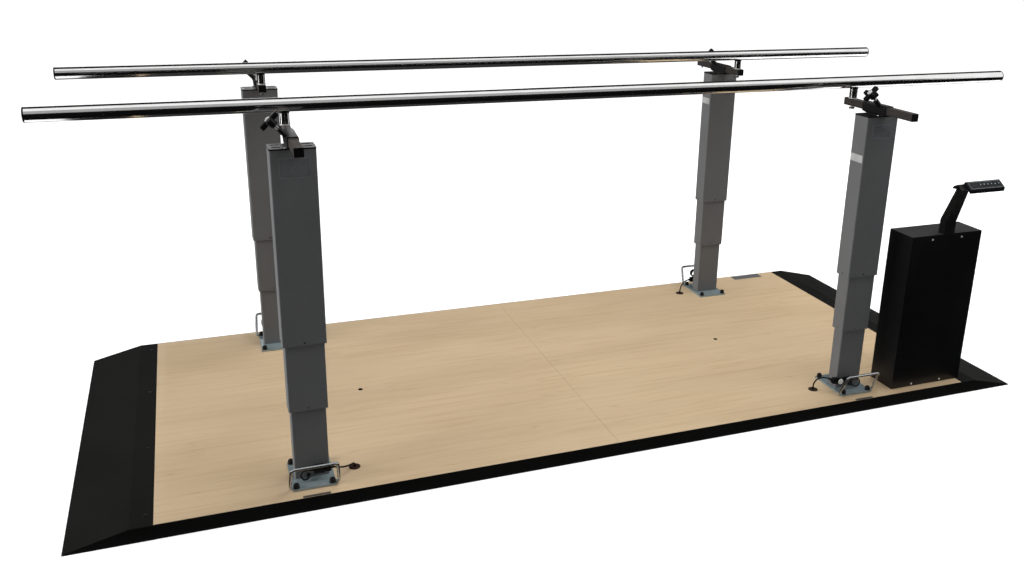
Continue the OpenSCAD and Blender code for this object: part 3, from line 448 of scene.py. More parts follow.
def place(bm, matrix, verts=None):
    """Moves all of a bmesh, or some of its verts."""
    bmesh.ops.transform(bm, matrix=matrix, verts=verts or bm.verts)
    if matrix.determinant() < 0 and verts is None:
        bmesh.ops.reverse_faces(bm, faces=bm.faces)
    return bm


def at_column(sx, sy, foot=False):
    """The frame of a column: its Y points outwards and, at the foot, its X to the middle. In mm."""
    turn = Matrix.Diagonal((-sx if foot else 1, sy, 1, 1))
    return shift(sx * COLUMN_X, sy * COLUMN_Y, 0) @ turn @ Matrix.Scale(MM, 4)


def at_plate(sx, sy):
    """The frame of a column's foot, on top of its base plate. In mm."""
    return at_column(sx, sy, True) @ shift(0, 0, PLATE_TOP / MM)


def at_clamp(sx, sy):
    """The frame of a clamp screw: its Z runs from the middle of the arm out to the knob. In mm."""
    return at_column(sx, sy) @ shift(0, CLAMP_Y, ARM_Z / MM) @ turned(-CLAMP_SLOPE, "Y")


def add_block(bm, low, high):
    """A box between two corners. Returns its verts."""
    low, high = Vector(low), Vector(high)
    size = high - low
    matrix = Matrix.Translation((low + high) / 2) @ Matrix.Diagonal((*size, 1))
    return bmesh.ops.create_cube(bm, size=1.0, matrix=matrix)["verts"]


def block_piece(name, blocks, body, finish, matrix=None, edge=0.0, segments=2):
    """A piece made of boxes, with edges rounded by edge before matrix puts it in place."""
    bm = bmesh.new()
    for low, high in blocks:
        add_block(bm, low, high)
    if edge:
        round_edges(bm, edge, segments)
    if matrix is not None:
        place(bm, matrix)
    return finish_piece(name, bm, body, finish)


def add_rod(bm, radius, z0, z1, segments=48, top=None, matrix=None):
    """A rod or cone along Z. Returns its verts."""
    matrix = (matrix or Matrix()) @ shift(0, 0, (z0 + z1) / 2)
    return bmesh.ops.create_cone(bm, cap_ends=True, cap_tris=False, segments=segments, radius1=radius,
                                 radius2=radius if top is None else top, depth=z1 - z0,
                                 matrix=matrix)["verts"]


def add_lathe(bm, profile, segments=48, matrix=None):
    """A turned shape from points of radius and height. Returns its verts."""
    verts = [bm.verts.new((r, 0, z)) for r, z in profile]
    edges = [bm.edges.new(pair) for pair in zip(verts, verts[1:])]
    bmesh.ops.spin(bm, geom=verts + edges, cent=(0, 0, 0), axis=(0, 0, 1), angle=2 * math.pi,
                   steps=segments, use_merge=True, use_duplicate=False)
    whole = set(verts)
    for edge in edges:
        whole.update(edge.verts)
    reached = set(whole)
    front = list(whole)
    while front:
        vert = front.pop()
        for edge in vert.link_edges:
            other = edge.other_vert(vert)
            if other not in reached:
                reached.add(other)
                front.append(other)
    poles = [v for v in reached if math.hypot(v.co.x, v.co.y) < 1e-6]
    for pole in poles:
        if pole.is_valid:
            near = [v for v in poles if v.is_valid and abs(v.co.z - pole.co.z) < 1e-6]
            bmesh.ops.pointmerge(bm, verts=near, merge_co=pole.co.copy())
    reached = [v for v in reached if v.is_valid]
    faces = list({f for v in reached for f in v.link_faces})
    bmesh.ops.recalc_face_normals(bm, faces=faces)
    if matrix is not None:
        place(bm, matrix, reached)
    return reached


def add_thread(bm, root, crest, pitch, turns, steps=24, matrix=None):
    """A screw thread: one V-shaped groove wound up along Z."""
    profile = [(root, 0.0), (crest, pitch * 0.45), (crest, pitch * 0.55), (root, pitch)]
    verts = [bm.verts.new((r, 0, z)) for r, z in profile]
    edges = [bm.edges.new(pair) for pair in zip(verts, verts[1:])]
    before = set(bm.verts) - set(verts)
    bmesh.ops.spin(bm, geom=verts + edges, cent=(0, 0, 0), axis=(0, 0, 1), dvec=(0, 0, pitch / steps),
                   angle=2 * math.pi * turns, steps=steps * turns, use_merge=False, use_duplicate=False)
    made = [v for v in bm.verts if v not in before]
    bmesh.ops.remove_doubles(bm, verts=made, dist=pitch * 0.02)
    made = [v for v in bm.verts if v not in before]
    bmesh.ops.recalc_face_normals(bm, faces=list({f for v in made for f in v.link_faces}))
    if matrix is not None:
        place(bm, matrix, made)
    return made


def wire(name, paths, diameter, body, finish, replaces=(), kind="BEZIER", swell=None):
    """Round wire or lead along points, in metres. Swell gives the thickness at each point."""
    curve = bpy.data.curves.new(name, "CURVE")
    curve.dimensions = "3D"
    curve.bevel_depth = diameter / 2
    curve.bevel_resolution = 5
    curve.resolution_u = 6
    curve.use_fill_caps = True
    for path in paths:
        if kind == "BEZIER":
            spline = curve.splines.new("BEZIER")
            spline.bezier_points.add(len(path) - 1)
            for knot, point in zip(spline.bezier_points, path):
                knot.co = point
                knot.handle_left_type = knot.handle_right_type = "AUTO"
        else:
            spline = curve.splines.new("POLY")
            spline.points.add(len(path) - 1)
            for knot, point, radius in zip(spline.points, path, swell or [1.0] * len(path)):
                knot.co = (*point, 1.0)
                knot.radius = radius
        spline.use_smooth = True
    curve.materials.append(FINISHES[finish])
    return attach(new_object(name, curve), body, replaces)


def add_cross_screw(bm, matrix, radius, height, shank, length):
    """Pan head with a cross recess, standing along Z from z 0, and its shank."""
    verts = add_lathe(bm, [(0, 0), (radius, 0), (radius, height * 0.35), (radius * 0.8, height * 0.8),
                           (radius * 0.45, height), (0, height)], 32)
    place(bm, matrix, verts)
    arm, width, depth = radius * 0.55, radius * 0.13, height * 0.05
    for turn in (0, 90):
        verts = add_block(bm, (-arm, -width, height - depth), (arm, width, height + depth))
        place(bm, matrix @ turned(turn + 20, "Z"), verts)
    place(bm, matrix, add_rod(bm, shank, -length, 0.2, 24))


# Stage

EYE = (-1.14953, -2.95350, 1.52223)
RIGHT = (0.93565417, -0.35230343, 0.02082243)
DOWN = (-0.08940035, -0.29368095, -0.95171376)
FORWARD = (0.34140717, 0.88861341, -0.30627986)
# Size of the picture, the distance of the eye from it and the point it aims at, in pixels
PICTURE_W, PICTURE_H = 1024, 577
FOCUS, AIM_X, AIM_Y = 959.5, 548.7, 241.4

# Name, two corners and level of each card. The last ones lie just over the deck, between the columns.
CARD_DARK = 0.035
CARDS = [
    ("front_dark_floor", (-12.0, -12.0, -0.02), (12.0, -0.612, 0.004), 0.004),
    ("front_dark_wall", (-12.0, -12.1, 0.0), (12.0, -12.0, 4.8), 0.006),
    ("front_grey_wall", (-12.0, -12.1, 4.8), (12.0, -12.0, 21.0), 0.40),
    ("rear_dark_floor", (-12.0, 0.612, -0.02), (12.0, 9.0, 0.004), 0.03),
    ("rear_dark_wall", (-12.0, 9.0, 0.0), (12.0, 9.1, 11.0), 0.03),
    ("rear_dark_ceiling", (-12.0, 0.5, 4.5), (12.0, 9.0, 4.6), 0.02),
    ("rear_light_wall", (-4.0, 8.8, 1.7), (3.0, 8.9, 3.7), 1.7),
]
CARDS += [(f"deck_dark_{name}", (x0, y0, 0.0505), (x1, y1, 0.051), CARD_DARK) for name, x0, y0, x1, y1 in (
    ("middle", -1.3, -0.40, 1.0, 0.40), ("front", -0.83, -0.60, 0.83, -0.40),
    ("front_left", -1.3, -0.60, -0.985, -0.40), ("rear", -0.83, 0.40, 0.83, 0.60),
    ("rear_left", -1.3, 0.40, -0.985, 0.60), ("rear_right", 0.985, 0.40, 1.3, 0.60))]


def show_backdrop_to(nodes, shader_lit, shader_seen, target):
    """Camera, glossy and transmission rays get shader_seen, and all others shader_lit."""
    light_path = nodes.node("ShaderNodeLightPath")
    either = nodes.node("ShaderNodeMath", operation="MAXIMUM")
    third = nodes.node("ShaderNodeMath", operation="MAXIMUM")
    mix = nodes.node("ShaderNodeMixShader")
    for source, socket in ((light_path.outputs["Is Camera Ray"], either.inputs[0]),
                           (light_path.outputs["Is Glossy Ray"], either.inputs[1]),
                           (either.outputs[0], third.inputs[0]),
                           (light_path.outputs["Is Transmission Ray"], third.inputs[1]),
                           (third.outputs[0], mix.inputs[0]), (shader_lit.outputs[0], mix.inputs[1]),
                           (shader_seen.outputs[0], mix.inputs[2]), (mix.outputs[0], target)):
        nodes.link(source, socket)


def add_card(name, low, high, level):
    """A card of an even grey that only shows in gloss, as the dim walls of a hall do."""
    bm = bmesh.new()
    add_block(bm, low, high)
    mesh = new_mesh(name, bm)
    material = bpy.data.materials.new(name)
    nodes = Nodes(material)
    out = nodes.node("ShaderNodeOutputMaterial")
    glow = nodes.node("ShaderNodeEmission", Strength=level)
    nodes.link(glow.outputs[0], out.inputs["Surface"])
    mesh.materials.append(material)
    card = new_object(name, mesh)
    card.visible_camera = card.visible_diffuse = False
    card.visible_shadow = card.visible_transmission = False


class BARS_OT_stage(Operator):
    """Sets up the camera, the lamps, the pale floor and the backdrop"""
    bl_idname = "walking_bars.stage"
    bl_label = "Stage"

    def execute(self, context):
        self.add_camera(context.scene)
        self.add_backdrop(context.scene)
        self.add_lamps()
        self.add_floor()
        for card in CARDS:
            add_card(*card)
        return {"FINISHED"}

    def add_camera(self, scene):
        camera = bpy.data.cameras.new("camera")
        camera.sensor_width = 36.0
        camera.lens = FOCUS * camera.sensor_width / PICTURE_W
        camera.shift_x = (PICTURE_W / 2 - AIM_X) / PICTURE_W
        camera.shift_y = (AIM_Y - PICTURE_H / 2) / PICTURE_W
        camera.clip_start, camera.clip_end = 0.05, 100.0
        turn = Matrix((RIGHT, -Vector(DOWN), -Vector(FORWARD))).transposed().to_4x4()
        scene.camera = new_object("camera", camera)
        scene.camera.matrix_world = shift(*EYE) @ turn
        scene.view_settings.view_transform = "Standard"

    def add_backdrop(self, scene):
        stage = settings().stage
        color = (*stage.backdrop, 1.0)
        scene.world = bpy.data.worlds.new("studio")
        nodes = Nodes(scene.world)
        out = nodes.node("ShaderNodeOutputWorld")
        lit = nodes.node("ShaderNodeBackground", Strength=stage.sky_strength, Color=color)
        seen = nodes.node("ShaderNodeBackground", Color=color, Strength=1.0)
        show_backdrop_to(nodes, lit, seen, out.inputs["Surface"])

    def add_lamps(self):
        stage = settings().stage
        for name, power, size, spot, aim in (
                ("key_lamp", stage.key_power, 5.0, (-8.0, 0.0, 2.0), (0.0, 0.0, 0.5)),
                ("top_lamp", stage.top_power, 4.0, (1.7, 0.0, 4.6), (0.7, 0.0, 0.0)),
                ("front_lamp", stage.front_power, 5.0, (4.0, -6.0, 4.0), (0.5, 0.0, 0.5))):
            lamp = bpy.data.lights.new(name, "AREA")
            lamp.energy = power
            lamp.size = size
            piece = new_object(name, lamp)
            piece.location = spot
            piece.rotation_euler = (Vector(aim) - Vector(spot)).to_track_quat("-Z", "Y").to_euler()
            piece.visible_glossy = False

    def add_floor(self):
        """Pale floor that glows more further out, until it is as white as the backdrop."""
        bm = bmesh.new()
        bmesh.ops.create_grid(bm, x_segments=1, y_segments=1, size=30.0)
        mesh = new_mesh("floor", bm)
        floor = new_object("floor", mesh)
        material = bpy.data.materials.new("pale_floor")
        nodes = Nodes(material)
        out = nodes.node("ShaderNodeOutputMaterial")
        matt = nodes.node("ShaderNodeBsdfDiffuse", Color=(0.60, 0.60, 0.60, 1.0))
        coordinates = nodes.node("ShaderNodeTexCoord")
        squeeze = nodes.node("ShaderNodeMapping", Scale=(0.25, 0.36, 1.0))
        reach = nodes.node("ShaderNodeVectorMath", operation="LENGTH")
        rise = nodes.node("ShaderNodeMapRange", From_Min=0.45, From_Max=1.0, To_Min=0.66, To_Max=1.0)
        glow = nodes.node("ShaderNodeEmission")
        both = nodes.node("ShaderNodeAddShader")
        dull = nodes.node("ShaderNodeBsdfDiffuse", Color=(0.16, 0.16, 0.16, 1.0))
        for source, socket in ((coordinates.outputs["Object"], squeeze.inputs["Vector"]),
                               (squeeze.outputs["Vector"], reach.inputs[0]),
                               (reach.outputs["Value"], rise.inputs["Value"]),
                               (rise.outputs["Result"], glow.inputs["Strength"]),
                               (matt.outputs[0], both.inputs[0]), (glow.outputs[0], both.inputs[1])):
            nodes.link(source, socket)
        show_backdrop_to(nodes, dull, both, out.inputs["Surface"])
        mesh.materials.append(material)


# Platform


class BARS_OT_deck(Operator):
    """Finishes the wooden deck, its divider sockets and its blank plates"""
    bl_idname = "walking_bars.deck"
    bl_label = "Deck"

    def execute(self, context):
        for node in ("deck_left", "deck_right"):
            dress(node, "platform", "maple", 0.0004, 1)
        coat("deck_bearers", "plywood")
        for side, name in ((-1, "left"), (1, "right")):
            bm = bmesh.new()
            add_lathe(bm, [(7.9, 0.5), (7.2, 0.5), (7.2, -16.0), (7.9, -16.0), (7.9, 0.5)])
            add_lathe(bm, [(7.2, -12.0), (0.0, -12.0), (0.0, -13.0), (7.2, -13.0)])
            place(bm, in_mm(side * SOCKET_X, 0, DECK_TOP - 0.5 * MM))
            finish_piece(f"divider_socket_{name}", bm, "platform", "plug_plastic")
        sticker = settings().trim.sticker
        for name, low, high in (("left", (-0.945, -0.6025), (-0.870, -0.5925)),
                                ("right", (0.878, -0.6025), (0.947, -0.5925))):
            block_piece(f"blank_strip_{name}", [((*low, DECK_TOP), (*high, DECK_TOP + sticker))], "platform",
                        "deck_label", edge=sticker * 0.4, segments=1)
        block_piece("blank_plate", [((1.108, 0.560, DECK_TOP), (1.249, 0.600, DECK_TOP + 0.0008))],
                    "platform", "grey_plate", edge=0.0003, segments=1)
        return {"FINISHED"}


class BARS_OT_ramps(Operator):
    """Finishes the ramps, the side skirts and the screws of the ramp strips"""
    bl_idname = "walking_bars.ramps"
    bl_label = "Ramps and Skirts"

    def execute(self, context):
        for node in ("ramp_left", "ramp_right", "side_skirts"):
            dress(node, "platform", "ramp_coat", 0.0008, 2, 8.0)
        bm = bmesh.new()
        for side in (-1, 1):
            for y in STRIP_Y:
                add_cross_screw(bm, in_mm(side * STRIP_X, y, DECK_TOP), 5.0, 1.2, 2.4, 15.5)
        finish_piece("ramp_screws", bm, "platform", "plug_plastic", ("deck_screws",))
        return {"FINISHED"}


class BARS_OT_base_plates(Operator):
    """Finishes the zinc plates and makes the domed covers of their bolts"""
    bl_idname = "walking_bars.base_plates"
    bl_label = "Base Plates and Bolt Covers"

    def execute(self, context):
        dress("base_plates", "platform", "bright_zinc", 0.0006, 2)
        bm = bmesh.new()
        for sx, sy in COLUMNS.values():
            for x in (-BOLT_X, BOLT_X):
                for y in (-BOLT_Y, BOLT_Y):
                    matrix = at_column(sx, sy) @ shift(x, y, PLATE_TOP / MM)
                    dome = [(r, 6.8 + z) for r, z in (polar(8.5, a) for a in range(0, 90, 10))]
                    add_lathe(bm, [(0, 0), (8.9, 0), (9.2, 0.5), (8.9, 1.1), (8.5, 1.5)] + dome
                              + [(0, 15.3)], 40, matrix)
                    place(bm, matrix, add_rod(bm, 3.9, -43.5, 1.0, 24))
        turn_out(bm)
        finish_piece("bolt_covers", bm, "platform", "cover_plastic", ("plate_bolts",), 40)
        return {"FINISHED"}


class BARS_OT_bails(Operator):
    """Makes the wire bails at the outer edge of the base plates"""
    bl_idname = "walking_bars.bails"
    bl_label = "Bails"

    def execute(self, context):
        lean = turned(-BAIL_LEAN, "X")
        foot, taper, corner, top = 67.4, 5.0, 9.0, 80.0
        tilt = math.atan2(taper, top - corner)
        run = (top - corner + corner * math.sin(tilt)) / math.cos(tilt)
        corner_x = foot - run * math.sin(tilt) - corner * math.cos(tilt)
        heel = [(60.0, 0, 0), (63.4, 0, 0), (65.6, 0, 0.5), (66.9, 0, 1.8)]
        leg = [(foot - h * math.sin(tilt), 0, h * math.cos(tilt)) for h in (4.0, 8.0, 20.0, 40.0, 60.0, run)]
        turns = [tilt + (math.pi / 2 - tilt) * step / 8 for step in range(1, 9)]
        arc = [(corner_x + corner * math.cos(a), 0, top - corner + corner * math.sin(a)) for a in turns]
        path = heel + leg + arc + [(corner_x * part / 4, 0, top) for part in (3, 2, 1)]
        path = path + [(0, 0, top)] + [(-x, y, z) for x, y, z in reversed(path)]
        swell = [1.0 + 0.28 * min(1.0, max(0.0, (z - 8.0) / 20.0)) for x, y, z in path]
        for name, (sx, sy) in COLUMNS.items():
            matrix = at_column(sx, sy) @ shift(0, BAIL_Y, BAIL_Z) @ lean
            points = [matrix @ Vector(p) for p in path]
            wire(f"bail_wire_{name}", [points], 7.0 * MM, f"bail_{name}", "bail_steel",
                 (f"bail_{name}",), kind="POLY", swell=swell)
        return {"FINISHED"}


# Columns


class BARS_OT_columns(Operator):
    """Finishes the tubes of the lift columns and adds their screws and blank labels"""
    bl_idname = "walking_bars.columns"
    bl_label = "Lift Columns"

    def execute(self, context):
        dress("lower_tubes", "platform", "column_coat")
        for name in COLUMNS:
            dress(f"middle_tube_{name}", f"middle_{name}", "column_coat")
            dress(f"upper_tube_{name}", f"upper_{name}", "column_coat")
            self.add_screws(name, "middle", MIDDLE_LOW.z, MIDDLE_HALF_W, MIDDLE_HALF_D)
            self.add_screws(name, "upper", UPPER_LOW.z, UPPER_HALF_W, UPPER_HALF_D)
        self.add_label("fl", 3.0, 943.0, 78.0, 52.0)
        self.add_label("fr", 0.5, 943.5, 71.0, 43.0)
        self.add_strip("fr", 0.843)
        self.add_strip("rr", 0.868)
        return {"FINISHED"}

    def add_screws(self, name, stage, low, half_w, half_d):
        """Small black screws near the lower end of a tube, in the middle of each face."""
        bm = bmesh.new()
        sx, sy = COLUMNS[name]
        height = low / MM + 8.5
        for turn, reach in ((0, half_d / MM), (90, half_w / MM), (180, half_d / MM), (270, half_w / MM)):
            matrix = (shift(0, (sy - 1) * COLUMN_Y, 0) @ at_column(sx, 1) @ turned(turn, "Z")
                      @ shift(0, -reach, height) @ turned(90, "X"))
            head = 0.1 if stage == "middle" else 0.9
            add_lathe(bm, [(0, -1.0), (2.4, -1.0), (2.4, head * 0.3), (1.9, head), (1.3, head),
                           (1.3, head - 0.8), (0, head - 0.8)], 24, matrix)
        finish_piece(f"{stage}_screws_{name}", bm, f"{stage}_{name}", "plug_plastic")

    def add_label(self, name, x, z, width, height):
        """Blank label on the front face of an upper tube."""
        sx, sy = COLUMNS[name]
        face = sy * (COLUMN_Y + UPPER_HALF_D)
        sticker = settings().trim.sticker
        left = sx * COLUMN_X + (x - width / 2) * MM
        low = (z - height / 2) * MM
        for part, inset, lift, finish in (("border", 0.0, sticker * 0.5, "label_border"),
                                          ("label", 1.5 * MM, sticker, "blank_label")):
            block = ((left + inset, face - lift, low + inset),
                     (left + width * MM - inset, face + 0.0001, low + height * MM - inset))
            block_piece(f"column_{part}_{name}", [block], f"upper_{name}", finish)

    def add_strip(self, name, low):
        """Blank silver sticker across an upper tube's left face."""
        sx, sy = COLUMNS[name]
        face = sx * COLUMN_X - UPPER_HALF_W
        middle = sy * COLUMN_Y
        block = ((face - 0.0003, middle - 0.0285, low), (face + 0.0001, middle + 0.0285, low + 0.024))
        block_piece(f"silver_strip_{name}", [block], f"upper_{name}", "silver_label")


class BARS_OT_column_heads(Operator):
    """Finishes the caps and receivers on top of the columns"""
    bl_idname = "walking_bars.column_heads"
    bl_label = "Column Heads"

    def execute(self, context):
        for name in COLUMNS:
            dress(f"column_head_{name}", f"upper_{name}", "head_coat", 0.0006, 2)
            self.add_foot_screws(name)
            self.add_vents(name)
            self.add_boss_sleeve(name)
        return {"FINISHED"}

    def add_foot_screws(self, name):
        """Screws that hold the receiver down on the cap, one at each end of its foot."""
        sx, sy = COLUMNS[name]
        bm = bmesh.new()
        for x in (-FOOT_SCREW_X, FOOT_SCREW_X):
            matrix = at_column(sx, sy) @ shift(x, FOOT_SCREW_Y, CAP_TOP / MM)
            add_cross_screw(bm, matrix, 3.2, 2.2, 1.6, 2.5)
        turn_out(bm)
        finish_piece(f"foot_screws_{name}", bm, f"upper_{name}", "satin_steel")

    def add_vents(self, name):
        """Thin black patches over the slots of the cap: painted shade that stands in for the dark depth of
        the slots.
        """
        bm = bmesh.new()
        for x in (-VENT_X, VENT_X):
            for y in VENT_Y:
                add_block(bm, (x - 11.6, y - 4.1, -0.1), (x + 11.6, y + 4.1, 0.3))
        round_edges(bm, 3.9, 5, 60.0, lambda e: abs(e.verts[0].co.z - e.verts[1].co.z) > 0.2)
        place(bm, at_column(*COLUMNS[name]) @ shift(0, 0, CAP_TOP / MM))
        # The patches are painted shade in place of the depth of the slots
        finish_piece(f"vent_slot_shade_{name}", bm, f"upper_{name}", "painted_slot_shade")

    def add_boss_sleeve(self, name):
        """Sleeve round the clamp boss."""
        bm = bmesh.new()
        add_lathe(bm, [(6.4, 17.0), (7.7, 17.0), (7.7, 43.4), (7.0, 44.2), (6.4, 44.2)], 40)
        place(bm, at_clamp(*COLUMNS[name]))
        turn_out(bm)
        finish_piece(f"boss_sleeve_{name}", bm, f"upper_{name}", "head_coat")


class BARS_OT_clamp_knobs(Operator):
    """Makes the four-arm clamp knobs and their threaded screws"""
    bl_idname = "walking_bars.clamp_knobs"
    bl_label = "Clamp Knobs"

    def execute(self, context):
        pitch = settings().trim.thread_pitch / MM
        for name, (sx, sy) in COLUMNS.items():
            matrix = at_clamp(sx, sy)
            bm = bmesh.new()
            turns = int((62.0 - 17.0) / pitch)
            add_thread(bm, 3.35, 3.95, pitch, turns, 20, shift(0, 0, 17.0))
            add_rod(bm, 3.4, 16.6, 66.0, 32)
            place(bm, matrix)
            finish_piece(f"clamp_screw_{name}", bm, f"knob_{name}", "screw_steel")
            bm = bmesh.new()
            add_lathe(bm, [(4.2, 54.6), (9.8, 54.6), (10.8, 55.6), (10.8, 67.0), (4.2, 67.0)], 40)
            for turn in (0, 90):
                verts = add_block(bm, (-27.9, -7.0, 66.0), (27.9, 7.0, 79.2))
                place(bm, turned(turn, "Z"), verts)
            add_lathe(bm, [(0, 65.9), (12.8, 65.9), (12.8, 78.8), (11.8, 79.7), (0, 79.7)], 40)
            round_edges(bm, 1.8, 3, 60.0, lambda e: max(math.hypot(v.co.x, v.co.y) for v in e.verts) > 20.0)
            place(bm, matrix)
            finish_piece(f"clamp_knob_body_{name}", bm, f"knob_{name}", "knob_plastic",
                         (f"clamp_knob_{name}",))
            bm = bmesh.new()
            add_lathe(bm, [(0, 79.5), (8.0, 79.5), (8.0, 80.6), (4.0, 80.8), (4.0, 82.4), (3.2, 83.0),
                           (0, 83.0)], 32)
            place(bm, matrix)
            turn_out(bm)
            finish_piece(f"clamp_washer_{name}", bm, f"knob_{name}", "satin_steel")
        return {"FINISHED"}


# Handrails


class BARS_OT_handrails(Operator):
    """Finishes the handrails, their end plugs, the arms and the posts"""
    bl_idname = "walking_bars.handrails"
    bl_label = "Handrails and Arms"

    def execute(self, context):
        for side in ("front", "rear"):
            body = f"{side}_handrail"
            self.add_tube(side, body)
            dress(f"{side}_end_plugs", body, "plug_plastic", 0.0005, 2)
            dress(f"{side}_arms", body, "arm_steel", 0.0003, 1)
            posts = dress(f"{side}_posts", body, "bright_chrome", 0.0004, 2)
            posts.data.materials.append(FINISHES["dark_steel"])
            posts.data.materials.append(FINISHES["satin_steel"])
            for face in posts.data.polygons:
                if face.center.z < ARM_LOW.z - 0.0001:
                    face.material_index = 1
                elif face.center.z < ARM_HIGH.z + 0.0024:
                    face.material_index = 2
            self.add_saddles(side, body)
        return {"FINISHED"}

    def add_saddles(self, side, body):
        """Black saddles between the posts and the handrail."""
        low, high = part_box(f"{side}_rail")
        bm = bmesh.new()
        for sx in (-1, 1):
            verts = add_lathe(bm, [(12.3, -2.6), (13.3, -2.6), (13.3, 4.0), (12.3, 4.0), (12.3, -2.6)], 48)
            spot = in_mm(sx * COLUMN_X, (low.y + high.y) / 2, low.z)
            place(bm, spot, verts)
        turn_out(bm)
        finish_piece(f"{side}_saddles", bm, body, "plug_plastic")

    def add_tube(self, side, body):
        """A smooth round tube, because the light runs along it in fine lines."""
        low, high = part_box(f"{side}_rail")
        radius = (high.z - low.z) / 2
        bm = bmesh.new()
        add_lathe(bm, [(radius - 0.0017, low.x), (radius - 0.0004, low.x), (radius, low.x + 0.0004),
                       (radius, high.x - 0.0004), (radius - 0.0004, high.x), (radius - 0.0017, high.x),
                       (radius - 0.0017, low.x)], 128)
        middle = (low + high) / 2
        place(bm, shift(0, middle.y, middle.z) @ turned(90, "Y"))
        finish_piece(f"{side}_tube", bm, body, "polished_stainless", (f"{side}_rail",))


# Leads

# Points in millimetres, from the top of a base plate, with X to the middle and Y outwards.
# A loop runs from the gland to the connector, and a tail on to the grommet in the deck.
LEAD_LOOP = [(-11, 29.5, 8), (-11, 34.5, 8), (-15, 40.5, 7), (-23, 44.5, 7), (-30, 44.5, 12),
             (-33, 43.5, 21), (-30, 43, 29), (-23, 43, 33), (-14, 43, 34), (-6, 43, 34), (2, 43, 34)]
# The rear leads have spare length, folded in a hank of three turns
HANK_OUT = UPPER_HALF_D / MM + 3.7
HANK_FOLD, HANK_RUN, HANK_Z, HANK_PITCH = 13.0, 33.0, 62.0, 5.6
# One turn, along the bottom, up, back along the top and down
HANK_TURN = ([(-HANK_RUN, -HANK_FOLD), (0.0, -HANK_FOLD)]
             + [(HANK_RUN + x, z) for x, z in (polar(HANK_FOLD, a) for a in range(-90, 91, 30))]
             + [(0.0, HANK_FOLD)]
             + [(-HANK_RUN + x, z) for x, z in (polar(HANK_FOLD, a) for a in range(90, 241, 30))])
HANK_LAST = 3 * len(HANK_TURN) - 3


def hank_point(number):
    x, z = HANK_TURN[number % len(HANK_TURN)]
    return x, HANK_OUT + HANK_PITCH * number / len(HANK_TURN), HANK_Z + z


HANK = [hank_point(number) for number in range(HANK_LAST + 1)]
HANK_END = HANK[-1][1]
# The ties reach just over the leads, clear of the bail where it stands upright
HANK_BACK, TIE = HANK[-5][1], 2.75
LEAD_HANK = ([(-11, 29.5, 8), (-11, 32.5, 8), (-13, 36.5, 7.5), (-17, 39.5, 7), (-22.5, 40.5, 7.5),
              (-30, HANK_OUT + 3.4, 10), (-38, HANK_OUT + 2, 17), (-43, HANK_OUT + 1, 27),
              (-44.5, HANK_OUT + 0.5, 36), (-42, HANK_OUT, 43), (-38, HANK_OUT, 47)]
             + HANK + [(-46, HANK_END, 53), (-44, HANK_END - 0.5, 43), (-36, HANK_END - 3, 37),
                       (-23, HANK_END - 7, 34.5), (-12, 43, 34), (-5, 43, 34), (2, 43, 34)])
TAIL_END = [(GROMMET_X, GROMMET_Y, z) for z in (0, -14, -28)]
ROUND_TAIL = [(50, 43, 34), (56, 43, 33.2), (68, 40.5, 31.8), (81, 34.5, 29.5), (93, 26.5, 26.2),
              (103.5, 17.5, 21.8), (112, 9, 16.5), (118, 2.8, 10.8), (121.4, -1.2, 5)] + TAIL_END
FLAT_TAIL = [(50, 43, 34), (56, 43, 33), (66, 41, 29), (79, 36, 23), (92, 28, 18), (104, 18, 14),
             (113, 9, 11), (119, 2, 8), (121.6, -1.4, 4)] + TAIL_END
HIGH_TAIL = [(50, 43, 34), (56, 43, 34.5), (66, 41, 37), (79, 36, 42), (92, 28, 46), (104, 18, 45),
             (113, 9, 38), (119, 2, 26), (122, -2, 12)] + TAIL_END
TAILS = {"fl": FLAT_TAIL, "fr": HIGH_TAIL, "rl": ROUND_TAIL, "rr": ROUND_TAIL}
# Under the deck, in millimetres from the middle of the set: bends, height, top end and lanes
BEND = 25
LOW = 7
POWER_Z = 133
OUTER, INNER = 494, 476


def under_grommet(sx, sy, lane):
    """A lead leaves the grommet of a column for its lane."""
    x = sx * (COLUMN_X / MM - GROMMET_X)
    return [(x + 0.1 * BEND, sy * (COLUMN_Y / MM + lane) / 2, 10), (x + 0.4 * BEND, sy * lane, LOW + 0.5),
            (x + BEND, sy * lane, LOW)]


def sidestep(x, y0, y1):
    return [(x - 4 * BEND, y0, LOW), (x - 3 * BEND, 0.78 * y0 + 0.22 * y1, LOW),
            (x - 2 * BEND, 0.22 * y0 + 0.78 * y1, LOW)]


def turn_forward(x, y):
    return [(x - 1.7 * BEND, y, LOW), (x - 0.7 * BEND, y - 0.2 * BEND, LOW),
            (x - 0.15 * BEND, y - 0.75 * BEND, LOW), (x, y - 1.7 * BEND, LOW)]


def rise(x, y, dx, dy):
    return [(x - BEND * dx, y - BEND * dy, LOW), (x - 0.35 * BEND * dx, y - 0.35 * BEND * dy, LOW + 2),
            (x - 0.06 * BEND * dx, y - 0.06 * BEND * dy, LOW + 0.4 * BEND), (x, y, LOW + BEND),
            (x, y, POWER_Z)]


RUNS = {
    "fl": under_grommet(-1, -1, OUTER) + sidestep(1064, -OUTER, -520) + rise(1064, -520, 1, 0),
    "fr": under_grommet(1, -1, INNER) + sidestep(1064, -INNER, -500) + rise(1064, -500, 1, 0),
    "rl": under_grommet(-1, 1, OUTER) + turn_forward(1093, OUTER) + rise(1093, -501, 0, -1),
    "rr": under_grommet(1, 1, INNER) + turn_forward(1080, INNER) + rise(1080, -511, 0, -1),
}


